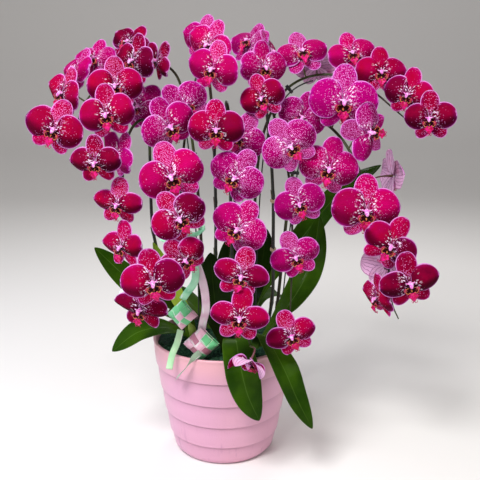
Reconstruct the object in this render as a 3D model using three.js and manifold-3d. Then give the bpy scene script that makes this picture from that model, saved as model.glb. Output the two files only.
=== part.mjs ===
// A potted doritaenopsis orchid: seven flower sprays on wired spikes, strap leaves, two woven
// ribbon pouches and a stepped round pot. Millimetres, +Z up, front of the plant towards -Y,
// origin on the floor at the middle of the pot's base.

import * as THREE from "three";
import { ConvexGeometry } from "three/addons/geometries/ConvexGeometry.js";
import { mergeGeometries, mergeVertices } from "three/addons/utils/BufferGeometryUtils.js";
import Module from "manifold-3d";

const wasm = await Module();
wasm.setup();

// Pot, from its foot to its rim
const POT_HEIGHT = 193;
const RIM_RADIUS = 115;
const FOOT_RADIUS = 80;
const BAND_EDGES = [0, 35, 73, 112, 153];
const BAND_FLARE = 2.6;
const POT_FLOOR = 7;
const INNER_FOOT_RADIUS = 75;
const INNER_RIM_RADIUS = 110;
const POT_SIDES = 24;

// Filling of the pot
const SEAT_GAP = 0.35;
const MEDIUM_TOP = 166;
const MOSS_TOP = 184;
const MOSS_RELIEF = 2.5;
const CROWN_PIT_RADIUS = 19;
const CROWN_PIT_FLOOR = 172;

// Spikes, their support wires and clips
const SPIKE_FOOT = 140;
const SPIKE_RADIUS = 3;
const SPIKE_STEPS = 10;
const RACHIS_RADIUS = 2.1;
const RACHIS_STEPS = 11;
const WIRE_RADIUS = 1.5;
const WIRE_OFFSET = 7.5;
const WIRE_STEPS = 13;
const CLIP_LENGTH = 5;
const CLIP_SPIKE_HOLE = 3.9;
const CLIP_WIRE_HOLE = 2.85;

// Bloom, in shares of half its width: "base" and "lift" and "reach" are how far a tepal stands
// forward at its foot, its middle and its tip
const TEPAL_THICKNESS = 0.9;
const HEART_RADIUS = 0.16;
const DORSAL = { length: 1.08, widths: [0.1, 0.34, 0.15], base: -0.04, lift: -0.12, reach: -0.2 };
const PETAL = { length: 1, widths: [0.12, 0.57, 0.57, 0.2], base: 0.03, lift: 0.08, reach: 0 };
const LATERAL = { length: 0.86, widths: [0.06, 0.29, 0], base: -0.04, lift: -0.1, reach: -0.17 };
const PETAL_ANGLE = 81;
const LATERAL_ANGLE = 142;
const TEPALS = [
  { angle: 0, ...DORSAL }, { angle: PETAL_ANGLE, ...PETAL }, { angle: LATERAL_ANGLE, ...LATERAL },
  { angle: -LATERAL_ANGLE, ...LATERAL }, { angle: -PETAL_ANGLE, ...PETAL },
];
const HEART_FACES = [[1, 8, 4], [1, 4, 2], [2, 4, 3], [4, 8, 5], [5, 8, 6], [6, 8, 7], [8, 1, 9], [9, 1, 0]];
const LIP = [
  [-0.13, 0.1, 0.07], [0.13, 0.1, 0.07], [0, -0.2, 0.07], [0, 0.08, 0.24], [-0.2, -0.2, 0.19],
  [0.2, -0.2, 0.19], [0, -0.54, 0.1],
];
const COLUMN_REACH = 0.14;
const PEDICEL_RADIUS = 1.5;
const PEDICEL_BEND = 20;
const PEDICEL_STEPS = 2;

// Leaves, and the crowns that they grow round
const LEAF_THICKNESS = 1.6;
const LEAF_PROFILE = [0.28, 0.52, 0.86, 1.0, 0.9, 0.34];
const LEAF_BASE_RADIUS = 8;
const CROWN_RADIUS = 9;

// Ribbons
const RIBBON_THICKNESS = 0.8;

// Joining solids leaves slivers; points may move by this much to clear them
const SLIVER_LIMIT = 0.12;

const deg = THREE.MathUtils.degToRad;
const vec = (p) => new THREE.Vector3(...p);
const spline = (points) => new THREE.CatmullRomCurve3(points, false, "centripetal");

// Solids

function solid(geometry) {
  const plain = geometry.clone();
  plain.deleteAttribute("normal");
  plain.deleteAttribute("uv");
  const merged = mergeVertices(plain, 1e-4);
  return new wasm.Manifold(new wasm.Mesh({
    numProp: 3,
    vertProperties: new Float32Array(merged.attributes.position.array),
    triVerts: new Uint32Array(merged.index.array),
  }));
}

function geometryOf(body) {
  const mesh = body.simplify(SLIVER_LIMIT).getMesh();
  const geometry = new THREE.BufferGeometry();
  geometry.setAttribute("position", new THREE.BufferAttribute(mesh.vertProperties, 3));
  geometry.setIndex(new THREE.BufferAttribute(mesh.triVerts, 1));
  return geometry;
}

function joined(geometries) {
  return geometries.map(solid).reduce((whole, next) => whole.add(next));
}

// An open sheet given a thickness: both faces share one triangulation, and a rim closes them.
// A tip of no width has merged into one point, so the face that it leaves empty is passed over
function thickened(sheet, thickness) {
  sheet.computeVertexNormals();
  const position = sheet.attributes.position;
  const normal = sheet.attributes.normal;
  const count = position.count;
  const points = [];
  for (const side of [0.5, -0.5]) {
    for (let i = 0; i < count; i += 1) {
      const point = new THREE.Vector3().fromBufferAttribute(position, i);
      const away = new THREE.Vector3().fromBufferAttribute(normal, i);
      points.push(...point.addScaledVector(away, side * thickness).toArray());
    }
  }
  const front = [...sheet.index.array];
  const faces = [];
  const edges = new Set();
  for (let i = 0; i < front.length; i += 3) {
    const [a, b, c] = front.slice(i, i + 3);
    if (a === b || b === c || c === a) continue;
    faces.push(a, b, c, a + count, c + count, b + count);
    edges.add(`${a},${b}`).add(`${b},${c}`).add(`${c},${a}`);
  }
  for (const edge of edges) {
    const [a, b] = edge.split(",").map(Number);
    if (!edges.has(`${b},${a}`)) faces.push(b, a, a + count, b, a + count, b + count);
  }
  const geometry = new THREE.BufferGeometry();
  geometry.setAttribute("position", new THREE.Float32BufferAttribute(points, 3));
  geometry.setIndex(faces);
  return geometry;
}

// A sheet along a curve: half-widths at even stations, its width along sideAt(t, tangent),
// its edges raised by "keel" of the half-width
function strip({ curve, widths, sideAt, across = 1, keel = 0 }) {
  const along = widths.length - 1;
  const sheet = new THREE.PlaneGeometry(1, 1, across, along);
  const position = sheet.attributes.position;
  for (let i = 0; i < position.count; i += 1) {
    const t = position.getY(i) + 0.5;
    const u = position.getX(i) * 2;
    const half = widths[Math.round(t * along)];
    const tangent = curve.getTangent(t);
    const side = sideAt(t, tangent).normalize();
    const up = side.clone().cross(tangent).normalize();
    const point = curve.getPoint(t);
    point.addScaledVector(side, u * half);
    point.addScaledVector(up, Math.abs(u) * keel * half);
    position.setXYZ(i, point.x, point.y, point.z);
  }
  return sheet;
}

function tube(curve, radius, sides, steps) {
  const section = new THREE.Shape();
  for (let i = 0; i < sides; i += 1) {
    const angle = (i / sides) * Math.PI * 2;
    const x = radius * Math.cos(angle);
    const y = radius * Math.sin(angle);
    if (i === 0) section.moveTo(x, y);
    else section.lineTo(x, y);
  }
  section.closePath();
  return new THREE.ExtrudeGeometry(section, { steps, bevelEnabled: false, extrudePath: curve });
}

// A stretch of a curve, moved sideways by "offset" about the axis that the curve arches round
function stretch(curve, from, to, count, axis = null, offset = 0) {
  const points = [];
  for (let i = 0; i <= count; i += 1) {
    const t = from + ((to - from) * i) / count;
    const point = curve.getPointAt(t);
    if (axis) {
      const away = axis.clone().cross(curve.getTangentAt(t)).normalize();
      point.addScaledVector(away, offset);
    }
    points.push(point);
  }
  return spline(points);
}

// Pot

function potRadius(z) {
  return FOOT_RADIUS + (RIM_RADIUS - FOOT_RADIUS) * Math.pow(z / POT_HEIGHT, 0.85);
}

function potInnerRadius(z) {
  return THREE.MathUtils.mapLinear(z, POT_FLOOR, POT_HEIGHT, INNER_FOOT_RADIUS, INNER_RIM_RADIUS);
}

function potGeometry() {
  const outline = [new THREE.Vector2(0, 0)];
  BAND_EDGES.forEach((low, i) => {
    const high = i + 1 < BAND_EDGES.length ? BAND_EDGES[i + 1] : POT_HEIGHT - 5;
    const foot = i === 0 ? -4 : BAND_FLARE;
    outline.push(new THREE.Vector2(potRadius(low) + foot, low));
    if (i === 0) outline.push(new THREE.Vector2(potRadius(8) + 0.6, 8));
    outline.push(new THREE.Vector2(potRadius(high) - 0.4, high - 1.5));
  });
  outline.push(new THREE.Vector2(RIM_RADIUS, POT_HEIGHT - 3));
  outline.push(new THREE.Vector2(RIM_RADIUS - 1, POT_HEIGHT));
  outline.push(new THREE.Vector2(RIM_RADIUS - 4, POT_HEIGHT));
  outline.push(new THREE.Vector2(potInnerRadius(POT_HEIGHT - 6), POT_HEIGHT - 6));
  outline.push(new THREE.Vector2(INNER_FOOT_RADIUS, POT_FLOOR));
  outline.push(new THREE.Vector2(0, POT_FLOOR));
  const pot = new THREE.LatheGeometry(outline, POT_SIDES);
  pot.rotateX(Math.PI / 2);
  return pot;
}

// Growing medium and moss, with a plain hole for every stem

function disc(radiusAt, low, high, rings, relief) {
  const outline = [new THREE.Vector2(0, low), new THREE.Vector2(radiusAt(low) - SEAT_GAP, low)];
  for (let ring = rings; ring >= 0; ring -= 1) {
    outline.push(new THREE.Vector2(((radiusAt(high) - SEAT_GAP) * ring) / rings, high));
  }
  const body = new THREE.LatheGeometry(outline, POT_SIDES);
  body.rotateX(Math.PI / 2);
  const position = body.attributes.position;
  for (let i = 0; i < position.count; i += 1) {
    const [x, y, z] = [position.getX(i), position.getY(i), position.getZ(i)];
    const radius = Math.hypot(x, y);
    if (z > high - 1e-3 && radius > 1 && radius < radiusAt(high) - 1) {
      position.setZ(i, z + relief * Math.sin(x * 0.9) * Math.cos(y * 1.3 + 1));
    }
  }
  return body;
}

function hole(x, y, low, high, radius, sides) {
  const bore = new THREE.CylinderGeometry(radius, radius, high - low, sides);
  bore.rotateX(Math.PI / 2);
  bore.translate(x, y, (low + high) / 2);
  return solid(bore);
}

function filling(low, high, rings, relief, stems) {
  let body = solid(disc((z) => potInnerRadius(z) - 0.8, low, high, rings, relief));
  for (const { x, y, foot, radius, sides } of stems) {
    if (foot < high) body = body.subtract(hole(x, y, foot, high + 20, radius, sides));
  }
  return geometryOf(body);
}

// Bloom: one star-shaped sheet of five tepals round a small heart, with the petals standing
// in front of the sepals, and a pointed lip before it. Local frame: +X right, +Y up, +Z out

function bloomStar(width, fullness) {
  const half = width / 2;
  const out = new THREE.Vector3(0, 0, 1);
  const corners = [];
  const sheets = TEPALS.map(({ angle, length, widths, base, lift, reach }) => {
    const share = Math.abs(angle) === PETAL_ANGLE ? half * fullness : half;
    const dir = new THREE.Vector3(Math.sin(deg(angle)), Math.cos(deg(angle)), 0);
    const at = (away, rise) => dir.clone().multiplyScalar(away * half).addScaledVector(out, rise * half);
    const sheet = strip({
      curve: spline([at(HEART_RADIUS, base), at(length * 0.55, lift), at(length, reach)]),
      widths: widths.map((width) => width * share),
      sideAt: () => new THREE.Vector3(dir.y, -dir.x, 0),
    });
    sheet.deleteAttribute("uv");
    sheet.deleteAttribute("normal");
    corners.push(...sheet.attributes.position.array.slice(-6));
    return sheet;
  });
  const heart = new THREE.BufferGeometry();
  heart.setAttribute("position", new THREE.Float32BufferAttribute(corners, 3));
  heart.setIndex(HEART_FACES.flat());
  return thickened(mergeVertices(mergeGeometries([heart, ...sheets]), 1e-3), TEPAL_THICKNESS);
}

function lipGeometry(width) {
  return new ConvexGeometry(LIP.map((point) => vec(point).multiplyScalar(width / 2)));
}

function bloomPlace({ at, turn, tilt, roll }) {
  const [yaw, pitch, spin] = [deg(turn), deg(tilt), deg(roll)];
  const out = new THREE.Vector3(
    Math.sin(yaw) * Math.cos(pitch), -Math.cos(yaw) * Math.cos(pitch), Math.sin(pitch));
  const right = new THREE.Vector3(Math.cos(yaw), Math.sin(yaw), 0);
  const up = out.clone().cross(right);
  const x = right.clone().multiplyScalar(Math.cos(spin)).addScaledVector(up, -Math.sin(spin));
  const y = up.clone().multiplyScalar(Math.cos(spin)).addScaledVector(right, Math.sin(spin));
  return { out, matrix: new THREE.Matrix4().makeBasis(x, y, out).setPosition(vec(at)) };
}

function nearestPoint(joints, point) {
  const nearest = joints.slice(1).map((end, i) => (
    new THREE.Line3(joints[i], end).closestPointToPoint(point, true, new THREE.Vector3())));
  return nearest.reduce((best, next) => (
    next.distanceTo(point) < best.distanceTo(point) ? next : best));
}

// One bloom on its pedicel, which runs through the heart and ends in the lip
function bloomOnSpike({ at, width, fullness, ...facing }, joints) {
  const { out, matrix } = bloomPlace({ at, ...facing });
  const middle = vec(at);
  const elbow = middle.clone().addScaledVector(out, -PEDICEL_BEND);
  const tip = middle.clone().addScaledVector(out, (COLUMN_REACH * width) / 2);
  const pedicel = spline([nearestPoint(joints, elbow), elbow, middle, tip]);
  return [
    bloomStar(width, fullness).applyMatrix4(matrix),
    lipGeometry(width).applyMatrix4(matrix),
    tube(pedicel, PEDICEL_RADIUS, 3, PEDICEL_STEPS),
  ];
}

// A bloom's place: middle of its face, width, turn to the right, tilt upwards, clockwise roll,
// and how full its petals are
function bloom(x, y, z, width, turn = 0, tilt = 0, roll = 0, fullness = 1) {
  return { at: [x, y, z], width, turn, tilt, roll, fullness };
}

const ARCH_SIDEWAYS_LEFT = new THREE.Vector3(0, -1, 0);
const ARCH_SIDEWAYS_RIGHT = new THREE.Vector3(0, 1, 0);
const ARCH_FORWARD = new THREE.Vector3(1, 0, 0);

const SPRAYS = [
  {
    name: "upper_left", arch: ARCH_SIDEWAYS_LEFT, wireEnd: 0.62, clips: [0.5], clipColour: "black",
    route: [[-35, 25, 300], [-42, 30, 440], [-56, 36, 550], [-74, 36, 610], [-104, 30, 630],
      [-140, 20, 624], [-174, 0, 604], [-202, -24, 572], [-216, -46, 534]],
    blooms: [
      bloom(-101, 22, 629, 66, -52, 0, 38, 0.8), bloom(-148, 60, 656, 70, -20, 30, 25),
      bloom(-133, -5, 628, 80, -40, 5, 8), bloom(-196, 20, 631, 72, -20, 28, 0),
      bloom(-222, -2, 616, 74, -50, 25, -5), bloom(-234, -38, 582, 78, -42, 5, 15),
      bloom(-240, -80, 534, 86, 0, 0, 22), bloom(-154, -52, 594, 82, 6, 5, -2),
      bloom(-161, -90, 556, 82, -5, 0, -10),
    ],
  },
  {
    name: "lower_left", arch: ARCH_FORWARD, wireEnd: 0.5, clips: [0.42], clipColour: "black",
    route: [[-84, 19, 256], [-112, 22, 350], [-116, 24, 440], [-116, 24, 505], [-120, 8, 540],
      [-134, -20, 534], [-146, -38, 500], [-148, -52, 440], [-142, -58, 380], [-130, -76, 325],
      [-122, -92, 292]],
    blooms: [
      bloom(-131, 8, 562, 80, 0, 0, 50), bloom(-156, -62, 496, 76, -45, 0, 35, 0.9),
      bloom(-177, -108, 490, 76, -8, -8, 0, 0.85), bloom(-151, -92, 427, 76, -12, -5, 5, 0.75),
      bloom(-146, -99, 365, 76, -32, 0, 0, 0.8), bloom(-117, -134, 281, 84, -18, -12, 6, 0.62),
    ],
  },
  {
    name: "centre_left", arch: ARCH_FORWARD, wireEnd: 0.5, clips: [0.4], clipColour: "black",
    route: [[-14, 18, 260], [-12, 20, 380], [-14, 26, 500], [-20, 34, 590], [-26, 26, 626],
      [-33, 4, 622], [-42, -26, 588], [-50, -50, 545], [-56, -76, 495], [-58, -98, 445],
      [-58, -110, 395], [-60, -116, 360], [-72, -128, 338]],
    blooms: [
      bloom(-34, 15, 660, 74, -35, 5, 15), bloom(-20, -28, 651, 76, -28, 5, 24),
      bloom(-12, -75, 618, 78, -20, 0, 12), bloom(-50, -76, 566, 78, 8, 0, -46),
      bloom(-71, -108, 541, 82, 24, -5, -25), bloom(-67, -134, 475, 94, 0, 0, -20),
      bloom(-55, -158, 421, 82, 5, -5, -35), bloom(-50, -150, 360, 72, 22, -5, -42),
      bloom(-92, -178, 336, 90, 4, -5, -10),
    ],
  },
  {
    name: "centre", arch: ARCH_FORWARD, wireEnd: 0.45, clips: [0.36], clipColour: "black",
    route: [[14, 5, 300], [12, 12, 420], [8, 16, 520], [6, 4, 568], [9, -18, 560], [14, -30, 520],
      [16, -60, 475], [20, -95, 425], [25, -115, 365], [28, -130, 305], [34, -136, 258], [42, -140, 228]],
    blooms: [
      bloom(-6, -114, 537, 80, 0, 0, 0), bloom(26, -56, 520, 80, 0, 5, 30),
      bloom(20, -112, 470, 84, -14, 0, 32), bloom(23, -145, 403, 84, -12, 0, 32),
      bloom(28, -164, 340, 80, 0, 0, 16, 0.76), bloom(26, -178, 284, 84, 0, 5, 7, 0.7),
      bloom(41, -172, 216, 72, -145, -60, 0, 0.7),
    ],
  },
  {
    name: "centre_right", arch: ARCH_FORWARD, wireEnd: 0.5, clips: [0.222, 0.312], clipColour: "beige",
    route: [[80, 4, 260], [80, 2, 340], [79, 0, 420], [74, 8, 500], [66, 22, 570], [60, 26, 610],
      [61, 6, 618], [66, -16, 590], [76, -38, 555], [88, -58, 512], [98, -66, 470], [103, -74, 420],
      [104, -92, 360], [102, -108, 300], [100, -118, 260]],
    blooms: [
      bloom(40, 62, 657, 76, -40, 35, 0), bloom(75, 40, 641, 70, 72, 12, 0),
      bloom(63, -15, 619, 76, 24, 0, 0), bloom(59, -65, 577, 70, -18, 0, -22),
      bloom(117, -52, 549, 74, 0, 0, 25), bloom(98, -113, 514, 84, 0, 0, -38),
      bloom(113, -102, 430, 76, -8, 0, -20), bloom(107, -125, 357, 75, 0, 0, -22, 0.85),
      bloom(101, -150, 247, 75, 0, 0, -24, 0.8),
    ],
  },
  {
    name: "right", arch: ARCH_SIDEWAYS_RIGHT, wireEnd: 0.5, clips: [0.42], clipColour: "black",
    route: [[94, 24, 290], [104, 24, 400], [114, 16, 480], [126, 4, 526], [148, -12, 540], [174, -36, 522],
      [196, -56, 488], [214, -70, 446], [232, -80, 396], [246, -84, 346], [252, -86, 300], [257, -88, 272],
      [266, -91, 252]],
    blooms: [
      bloom(174, -78, 573, 100, 0, 0, 5), bloom(208, -108, 534, 84, 28, 0, -84, 0.8),
      bloom(153, -98, 480, 88, 0, 0, 14), bloom(260, -30, 460, 76, 105, 0, 0),
      bloom(207, -112, 421, 100, 0, 0, 2), bloom(240, -126, 374, 86, 0, -4, 32, 0.85),
      bloom(249, -60, 328, 76, 165, 0, 0), bloom(269, -140, 322, 88, 0, 0, -12, 0.8),
      bloom(231, -95, 285, 74, -68, -15, 0),
    ],
  },
  {
    name: "far_right", arch: ARCH_SIDEWAYS_RIGHT, wireEnd: 0.744, clips: [0.682], clipColour: "black",
    route: [[47, 32, 300], [52, 34, 420], [60, 33, 500], [76, 30, 551], [97, 30, 584], [124, 30, 602],
      [160, 26, 609], [200, 16, 601], [235, 0, 580], [258, -14, 560], [281, -24, 541]],
    blooms: [
      bloom(122, 17, 641, 80, 0, 35, -12, 0.9), bloom(148, 55, 620, 72, 175, 20, 0),
      bloom(196, 5, 639, 74, 0, 25, -10), bloom(236, -20, 612, 78, 0, 15, 0),
      bloom(272, -45, 581, 76, -28, 0, 10), bloom(299, -75, 549, 76, -22, 0, -5, 0.9),
    ],
  },
];

const SPIKE_FEET = {
  upper_left: [-34, 24], lower_left: [-64, 17], centre_left: [-15, 17], centre: [14, 3],
  centre_right: [72, 8], right: [86, 22], far_right: [45, 30],
};

// Spike, wire and clips of a spray

function spikeCurve(spray) {
  const [x, y] = SPIKE_FEET[spray.name];
  const foot = [[x, y, SPIKE_FOOT], [x, y, MOSS_TOP - 15], [x, y, MOSS_TOP + 10]];
  return spline([...foot, ...spray.route].map(vec));
}

function wireCurve(spray, curve) {
  return stretch(curve, 0, spray.wireEnd, 18, spray.arch, WIRE_OFFSET);
}

function sprayGeometry(spray) {
  const curve = spikeCurve(spray);
  const spike = stretch(curve, 0, 0.52, SPIKE_STEPS);
  const rachis = stretch(curve, 0.5, 1, RACHIS_STEPS);
  const joints = [...spike.getSpacedPoints(SPIKE_STEPS).slice(-3), ...rachis.getSpacedPoints(RACHIS_STEPS)];
  const pieces = [
    tube(spike, SPIKE_RADIUS, 4, SPIKE_STEPS),
    tube(rachis, RACHIS_RADIUS, 4, RACHIS_STEPS),
    ...spray.blooms.flatMap((each) => bloomOnSpike(each, joints)),
  ];
  return geometryOf(joined(pieces));
}

// A small plate with a hole for the spike and a hole for its wire
function clipGeometry(spray, t) {
  const [near, far, half] = [-5.6, WIRE_OFFSET + 3.6, 5.2];
  const outline = new THREE.Shape([[near, -half], [far, -half], [far, half], [near, half]].map(
    ([x, y]) => new THREE.Vector2(x, y)));
  outline.holes.push(new THREE.Path().absarc(0, 0, CLIP_SPIKE_HOLE, 0, Math.PI * 2, true));
  outline.holes.push(new THREE.Path().absarc(WIRE_OFFSET, 0, CLIP_WIRE_HOLE, 0, Math.PI * 2, true));
  const clip = new THREE.ExtrudeGeometry(
    outline, { depth: CLIP_LENGTH, bevelEnabled: false, curveSegments: 2 });
  clip.translate(0, 0, -CLIP_LENGTH / 2);
  const curve = spikeCurve(spray);
  const tangent = curve.getTangentAt(t);
  const away = spray.arch.clone().cross(tangent).normalize();
  const side = tangent.clone().cross(away).normalize();
  const place = new THREE.Matrix4().makeBasis(away, side, tangent).setPosition(curve.getPointAt(t));
  return clip.applyMatrix4(place);
}

// Leaves grow round five crowns, each in its own pit in the moss. "face" is where the upper
// side of the tip half looks

const CROWNS = {
  left: [-50, -14], front: [8, -52], right: [54, -24], back_left: [-24, 62], back_right: [38, 66],
};

const LEAVES = [
  { name: "left_low", crown: "left", width: 46, face: [0.25, -0.35, 1],
    route: [[-90, -30, 214], [-132, -46, 214], [-174, -58, 186]] },
  { name: "left_high", crown: "left", width: 44, face: [0.35, -0.9, 0.6],
    route: [[-60, 6, 212], [-92, 0, 240], [-144, -8, 282], [-202, -18, 344]] },
  { name: "left_upright", crown: "left", width: 24, face: [0.3, -1, 0.2],
    route: [[-50, -34, 214], [-74, -30, 270], [-110, -14, 352]] },
  { name: "front_hanging", crown: "front", width: 52, face: [0.2, -1, 0.7],
    route: [[20, -94, 220], [26, -128, 200], [38, -136, 150], [56, -134, 106]] },
  { name: "front_upright", crown: "front", width: 50, face: [0.2, -1, 0.3],
    route: [[-4, -46, 214], [-13, -41, 270], [-19, -37, 341]] },
  { name: "right_hanging", crown: "right", width: 46, face: [0.6, -0.8, 0.7],
    route: [[66, -84, 220], [90, -124, 190], [114, -132, 136], [136, -132, 92]] },
  { name: "right_high", crown: "right", width: 48, face: [-0.5, -1, 0.3],
    route: [[82, -26, 222], [112, -24, 262], [142, -4, 316], [154, 12, 390]] },
  { name: "back_tall", crown: "back_right", width: 42, face: [-0.6, -1, 0.4],
    route: [[66, 62, 240], [130, 58, 340], [196, 48, 425], [254, 42, 466]] },
  { name: "back_right", crown: "back_right", width: 52, face: [-0.2, -0.5, 1],
    route: [[58, 104, 220], [90, 144, 216], [116, 176, 182]] },
  { name: "back_upright", crown: "back_right", width: 44, face: [-0.1, -1, 0.2],
    route: [[50, 74, 226], [64, 82, 285], [72, 88, 350]] },
  { name: "back_left", crown: "back_left", width: 52, face: [0.3, -0.4, 1],
    route: [[-62, 82, 220], [-102, 112, 224], [-140, 136, 196]] },
  { name: "back_middle", crown: "back_left", width: 46, face: [0.2, -1, 0.2],
    route: [[-8, 68, 222], [5, 73, 275], [9, 78, 338]] },
];

function leafGeometry({ crown, width, face, route }) {
  const [x, y] = CROWNS[crown];
  const heading = new THREE.Vector3(route[0][0] - x, route[0][1] - y, 0).normalize();
  const foot = new THREE.Vector3(x, y, 0).addScaledVector(heading, LEAF_BASE_RADIUS);
  const start = [CROWN_PIT_FLOOR + SEAT_GAP, MOSS_TOP + 6].map((z) => foot.clone().setZ(z));
  const faceAt = (t) => {
    const share = THREE.MathUtils.smoothstep(t, 0, 0.6);
    const towards = vec(face).normalize().multiplyScalar(share).addScaledVector(heading, share - 1);
    return towards.add(new THREE.Vector3(0, 0, 2 * share * (1 - share)));
  };
  const sheet = strip({
    curve: spline([...start, ...route.map(vec)]),
    widths: LEAF_PROFILE.map((share) => (share * width) / 2),
    sideAt: (t, tangent) => tangent.clone().cross(faceAt(t)), across: 2, keel: 0.2,
  });
  return thickened(sheet, LEAF_THICKNESS);
}

function crownGeometry([x, y]) {
  const height = 22;
  const crown = new THREE.CylinderGeometry(CROWN_RADIUS * 0.6, CROWN_RADIUS, height, 7);
  crown.rotateX(Math.PI / 2);
  return crown.translate(x, y, CROWN_PIT_FLOOR + SEAT_GAP + height / 2);
}

// Woven pouches: a square pillow on its corner

const POUCHES = {
  upper: { at: [-60, -88, 258], side: 34, depth: 26, turn: 18 },
  lower: { at: [-32, -88, 211.2], side: 38, depth: 28, turn: 8 },
};

function pouchGeometry({ at, side, depth, turn }) {
  const pillow = new THREE.BoxGeometry(side, depth, side, 4, 1, 4);
  const position = pillow.attributes.position;
  for (let i = 0; i < position.count; i += 1) {
    const [x, y, z] = [position.getX(i), position.getY(i), position.getZ(i)];
    const edge = Math.max(Math.abs(x), Math.abs(z)) / (side / 2);
    position.setY(i, y * (1 - 0.72 * edge * edge));
  }
  pillow.rotateY(Math.PI / 4);
  pillow.rotateZ(deg(-turn));
  pillow.translate(...at);
  return pillow;
}

// Ribbons tied round the cascading stem of the centre left spray

const RIBBON_KNOTS = { green: 396, pink: 386 };

const FRONT = new THREE.Vector3(0.1, -1, 0.1);

const RIBBON_PARTS = {
  green: [
    { width: 11, route: [[-56, -115, 397], [-50, -120, 384], [-40, -121, 356], [-38, -117, 322],
      [-52, -101, 296], [-59, -89, 282.6]] },
    { width: 9, loop: true, route: [[-54, -111, 400], [-40, -112, 410], [-27, -114, 398],
      [-38, -112, 388], [-54, -111, 394]] },
    { width: 9, loop: true, route: [[-62, -111, 399], [-74, -112, 396], [-84, -114, 382],
      [-74, -112, 380], [-62, -111, 394]] },
  ],
  pink: [
    { width: 12, route: [[-56, -115, 385], [-40, -114, 354], [-27, -107, 312], [-24, -98, 272],
      [-31, -89, 246]] },
  ],
};

const RIBBON_TAILS = {
  tail_mint: { width: 9, route: [[-63, -89.5, 234], [-68, -97, 216], [-75, -104, 200], [-80, -108, 178]] },
  tail_sage: { width: 6, route: [[-33, -100, 201.6], [-44, -112, 202], [-58, -113, 188], [-70, -107, 164]] },
  tail_white: { width: 10, route: [[-82.2, -79, 259], [-104, -72, 268], [-128, -70, 284], [-152, -68, 304]] },
};

function ribbonStrip({ width, route, loop = false }) {
  const sheet = strip({
    curve: spline(route.map(vec)), widths: Array(6).fill(width / 2),
    sideAt: (t, tangent) => (loop ? new THREE.Vector3(0, 1, 0) : tangent.clone().cross(FRONT)),
  });
  return thickened(sheet, RIBBON_THICKNESS);
}

// The place on the cascading part of a curve that lies at a height
function pointAtHeight(curve, height) {
  const steps = 400;
  for (let i = steps; i > steps / 2; i -= 1) {
    if (curve.getPointAt(i / steps).z >= height) return i / steps;
  }
  throw new Error("the curve does not reach that height");
}

function knotRing(height) {
  const curve = spikeCurve(SPRAYS.find((spray) => spray.name === "centre_left"));
  const t = pointAtHeight(curve, height);
  const [inner, outer, half] = [RACHIS_RADIUS + 0.9, RACHIS_RADIUS + 3.2, 3];
  const ring = new THREE.LatheGeometry([
    new THREE.Vector2(inner, -half), new THREE.Vector2(outer, -half),
    new THREE.Vector2(outer, half), new THREE.Vector2(inner, half), new THREE.Vector2(inner, -half),
  ], 8);
  ring.rotateX(Math.PI / 2);
  const down = new THREE.Vector3(0, 0, -1);
  const turn = new THREE.Quaternion().setFromUnitVectors(down, curve.getTangentAt(t));
  return ring.applyQuaternion(turn).translate(...curve.getPointAt(t).toArray());
}

// The part

const COLOURS = {
  pot: 0xd9a9bd, medium: 0x4a3426, moss: 0x1d4630, spray: 0xc2185b, wire: 0x1d2420, black: 0x161616,
  beige: 0xb79b78, leaf: 0x2f6b25, pouch: 0xb98f93, green: 0x6fcf8a, pink: 0xe0a8c4, tail_mint: 0xbcebb8,
  tail_sage: 0x8fb48f, tail_white: 0xe6ece8,
};

const group = new THREE.Group();

function place(name, geometry, colour, roughness = 0.6) {
  const material = new THREE.MeshStandardMaterial({ color: COLOURS[colour], roughness, metalness: 0 });
  const mesh = new THREE.Mesh(geometry, material);
  mesh.name = name;
  group.add(mesh);
}

const wireFoot = (spray) => wireCurve(spray, spikeCurve(spray)).getPoint(0);

const stems = [
  ...Object.values(SPIKE_FEET).map(([x, y]) => (
    { x, y, foot: SPIKE_FOOT - SEAT_GAP, radius: 4.4, sides: 6 })),
  ...SPRAYS.map(wireFoot).map(({ x, y }) => (
    { x, y, foot: SPIKE_FOOT - SEAT_GAP, radius: 2.2, sides: 6 })),
  ...Object.values(CROWNS).map(([x, y]) => (
    { x, y, foot: CROWN_PIT_FLOOR, radius: CROWN_PIT_RADIUS, sides: 10 })),
];

place("pot", potGeometry(), "pot", 0.45);
place("growing_medium", filling(POT_FLOOR + SEAT_GAP, MEDIUM_TOP, 1, 0, stems), "medium", 0.95);
place("moss", filling(MEDIUM_TOP + SEAT_GAP, MOSS_TOP, 2, MOSS_RELIEF, stems), "moss", 0.95);

for (const spray of SPRAYS) {
  const wire = tube(wireCurve(spray, spikeCurve(spray)), WIRE_RADIUS, 3, WIRE_STEPS);
  place(`spray_${spray.name}`, sprayGeometry(spray), "spray");
  place(`wire_${spray.name}`, wire, "wire", 0.5);
  spray.clips.forEach((t, i) => {
    place(`clip_${spray.name}_${i + 1}`, clipGeometry(spray, t), spray.clipColour);
  });
}

for (const crown of Object.keys(CROWNS)) {
  const leaves = LEAVES.filter((leaf) => leaf.crown === crown).map(leafGeometry);
  place(`leaves_${crown}`, geometryOf(joined([crownGeometry(CROWNS[crown]), ...leaves])), "leaf", 0.35);
}

for (const [name, pouch] of Object.entries(POUCHES)) {
  place(`pouch_${name}`, pouchGeometry(pouch), "pouch");
}
for (const [name, parts] of Object.entries(RIBBON_PARTS)) {
  const pieces = [knotRing(RIBBON_KNOTS[name]), ...parts.map(ribbonStrip)];
  place(`ribbon_${name}`, geometryOf(joined(pieces)), name, 0.3);
}
for (const [name, tail] of Object.entries(RIBBON_TAILS)) place(name, ribbonStrip(tail), name, 0.3);

export default group;
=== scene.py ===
"""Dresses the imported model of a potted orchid: seven sprays of flecked magenta blooms, wired spikes,
strap leaves, moss, woven ribbon pouches, ribbons and a pot with stepped bands.

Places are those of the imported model, written in millimetres and turned into metres as meshes are made.
"""

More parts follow.
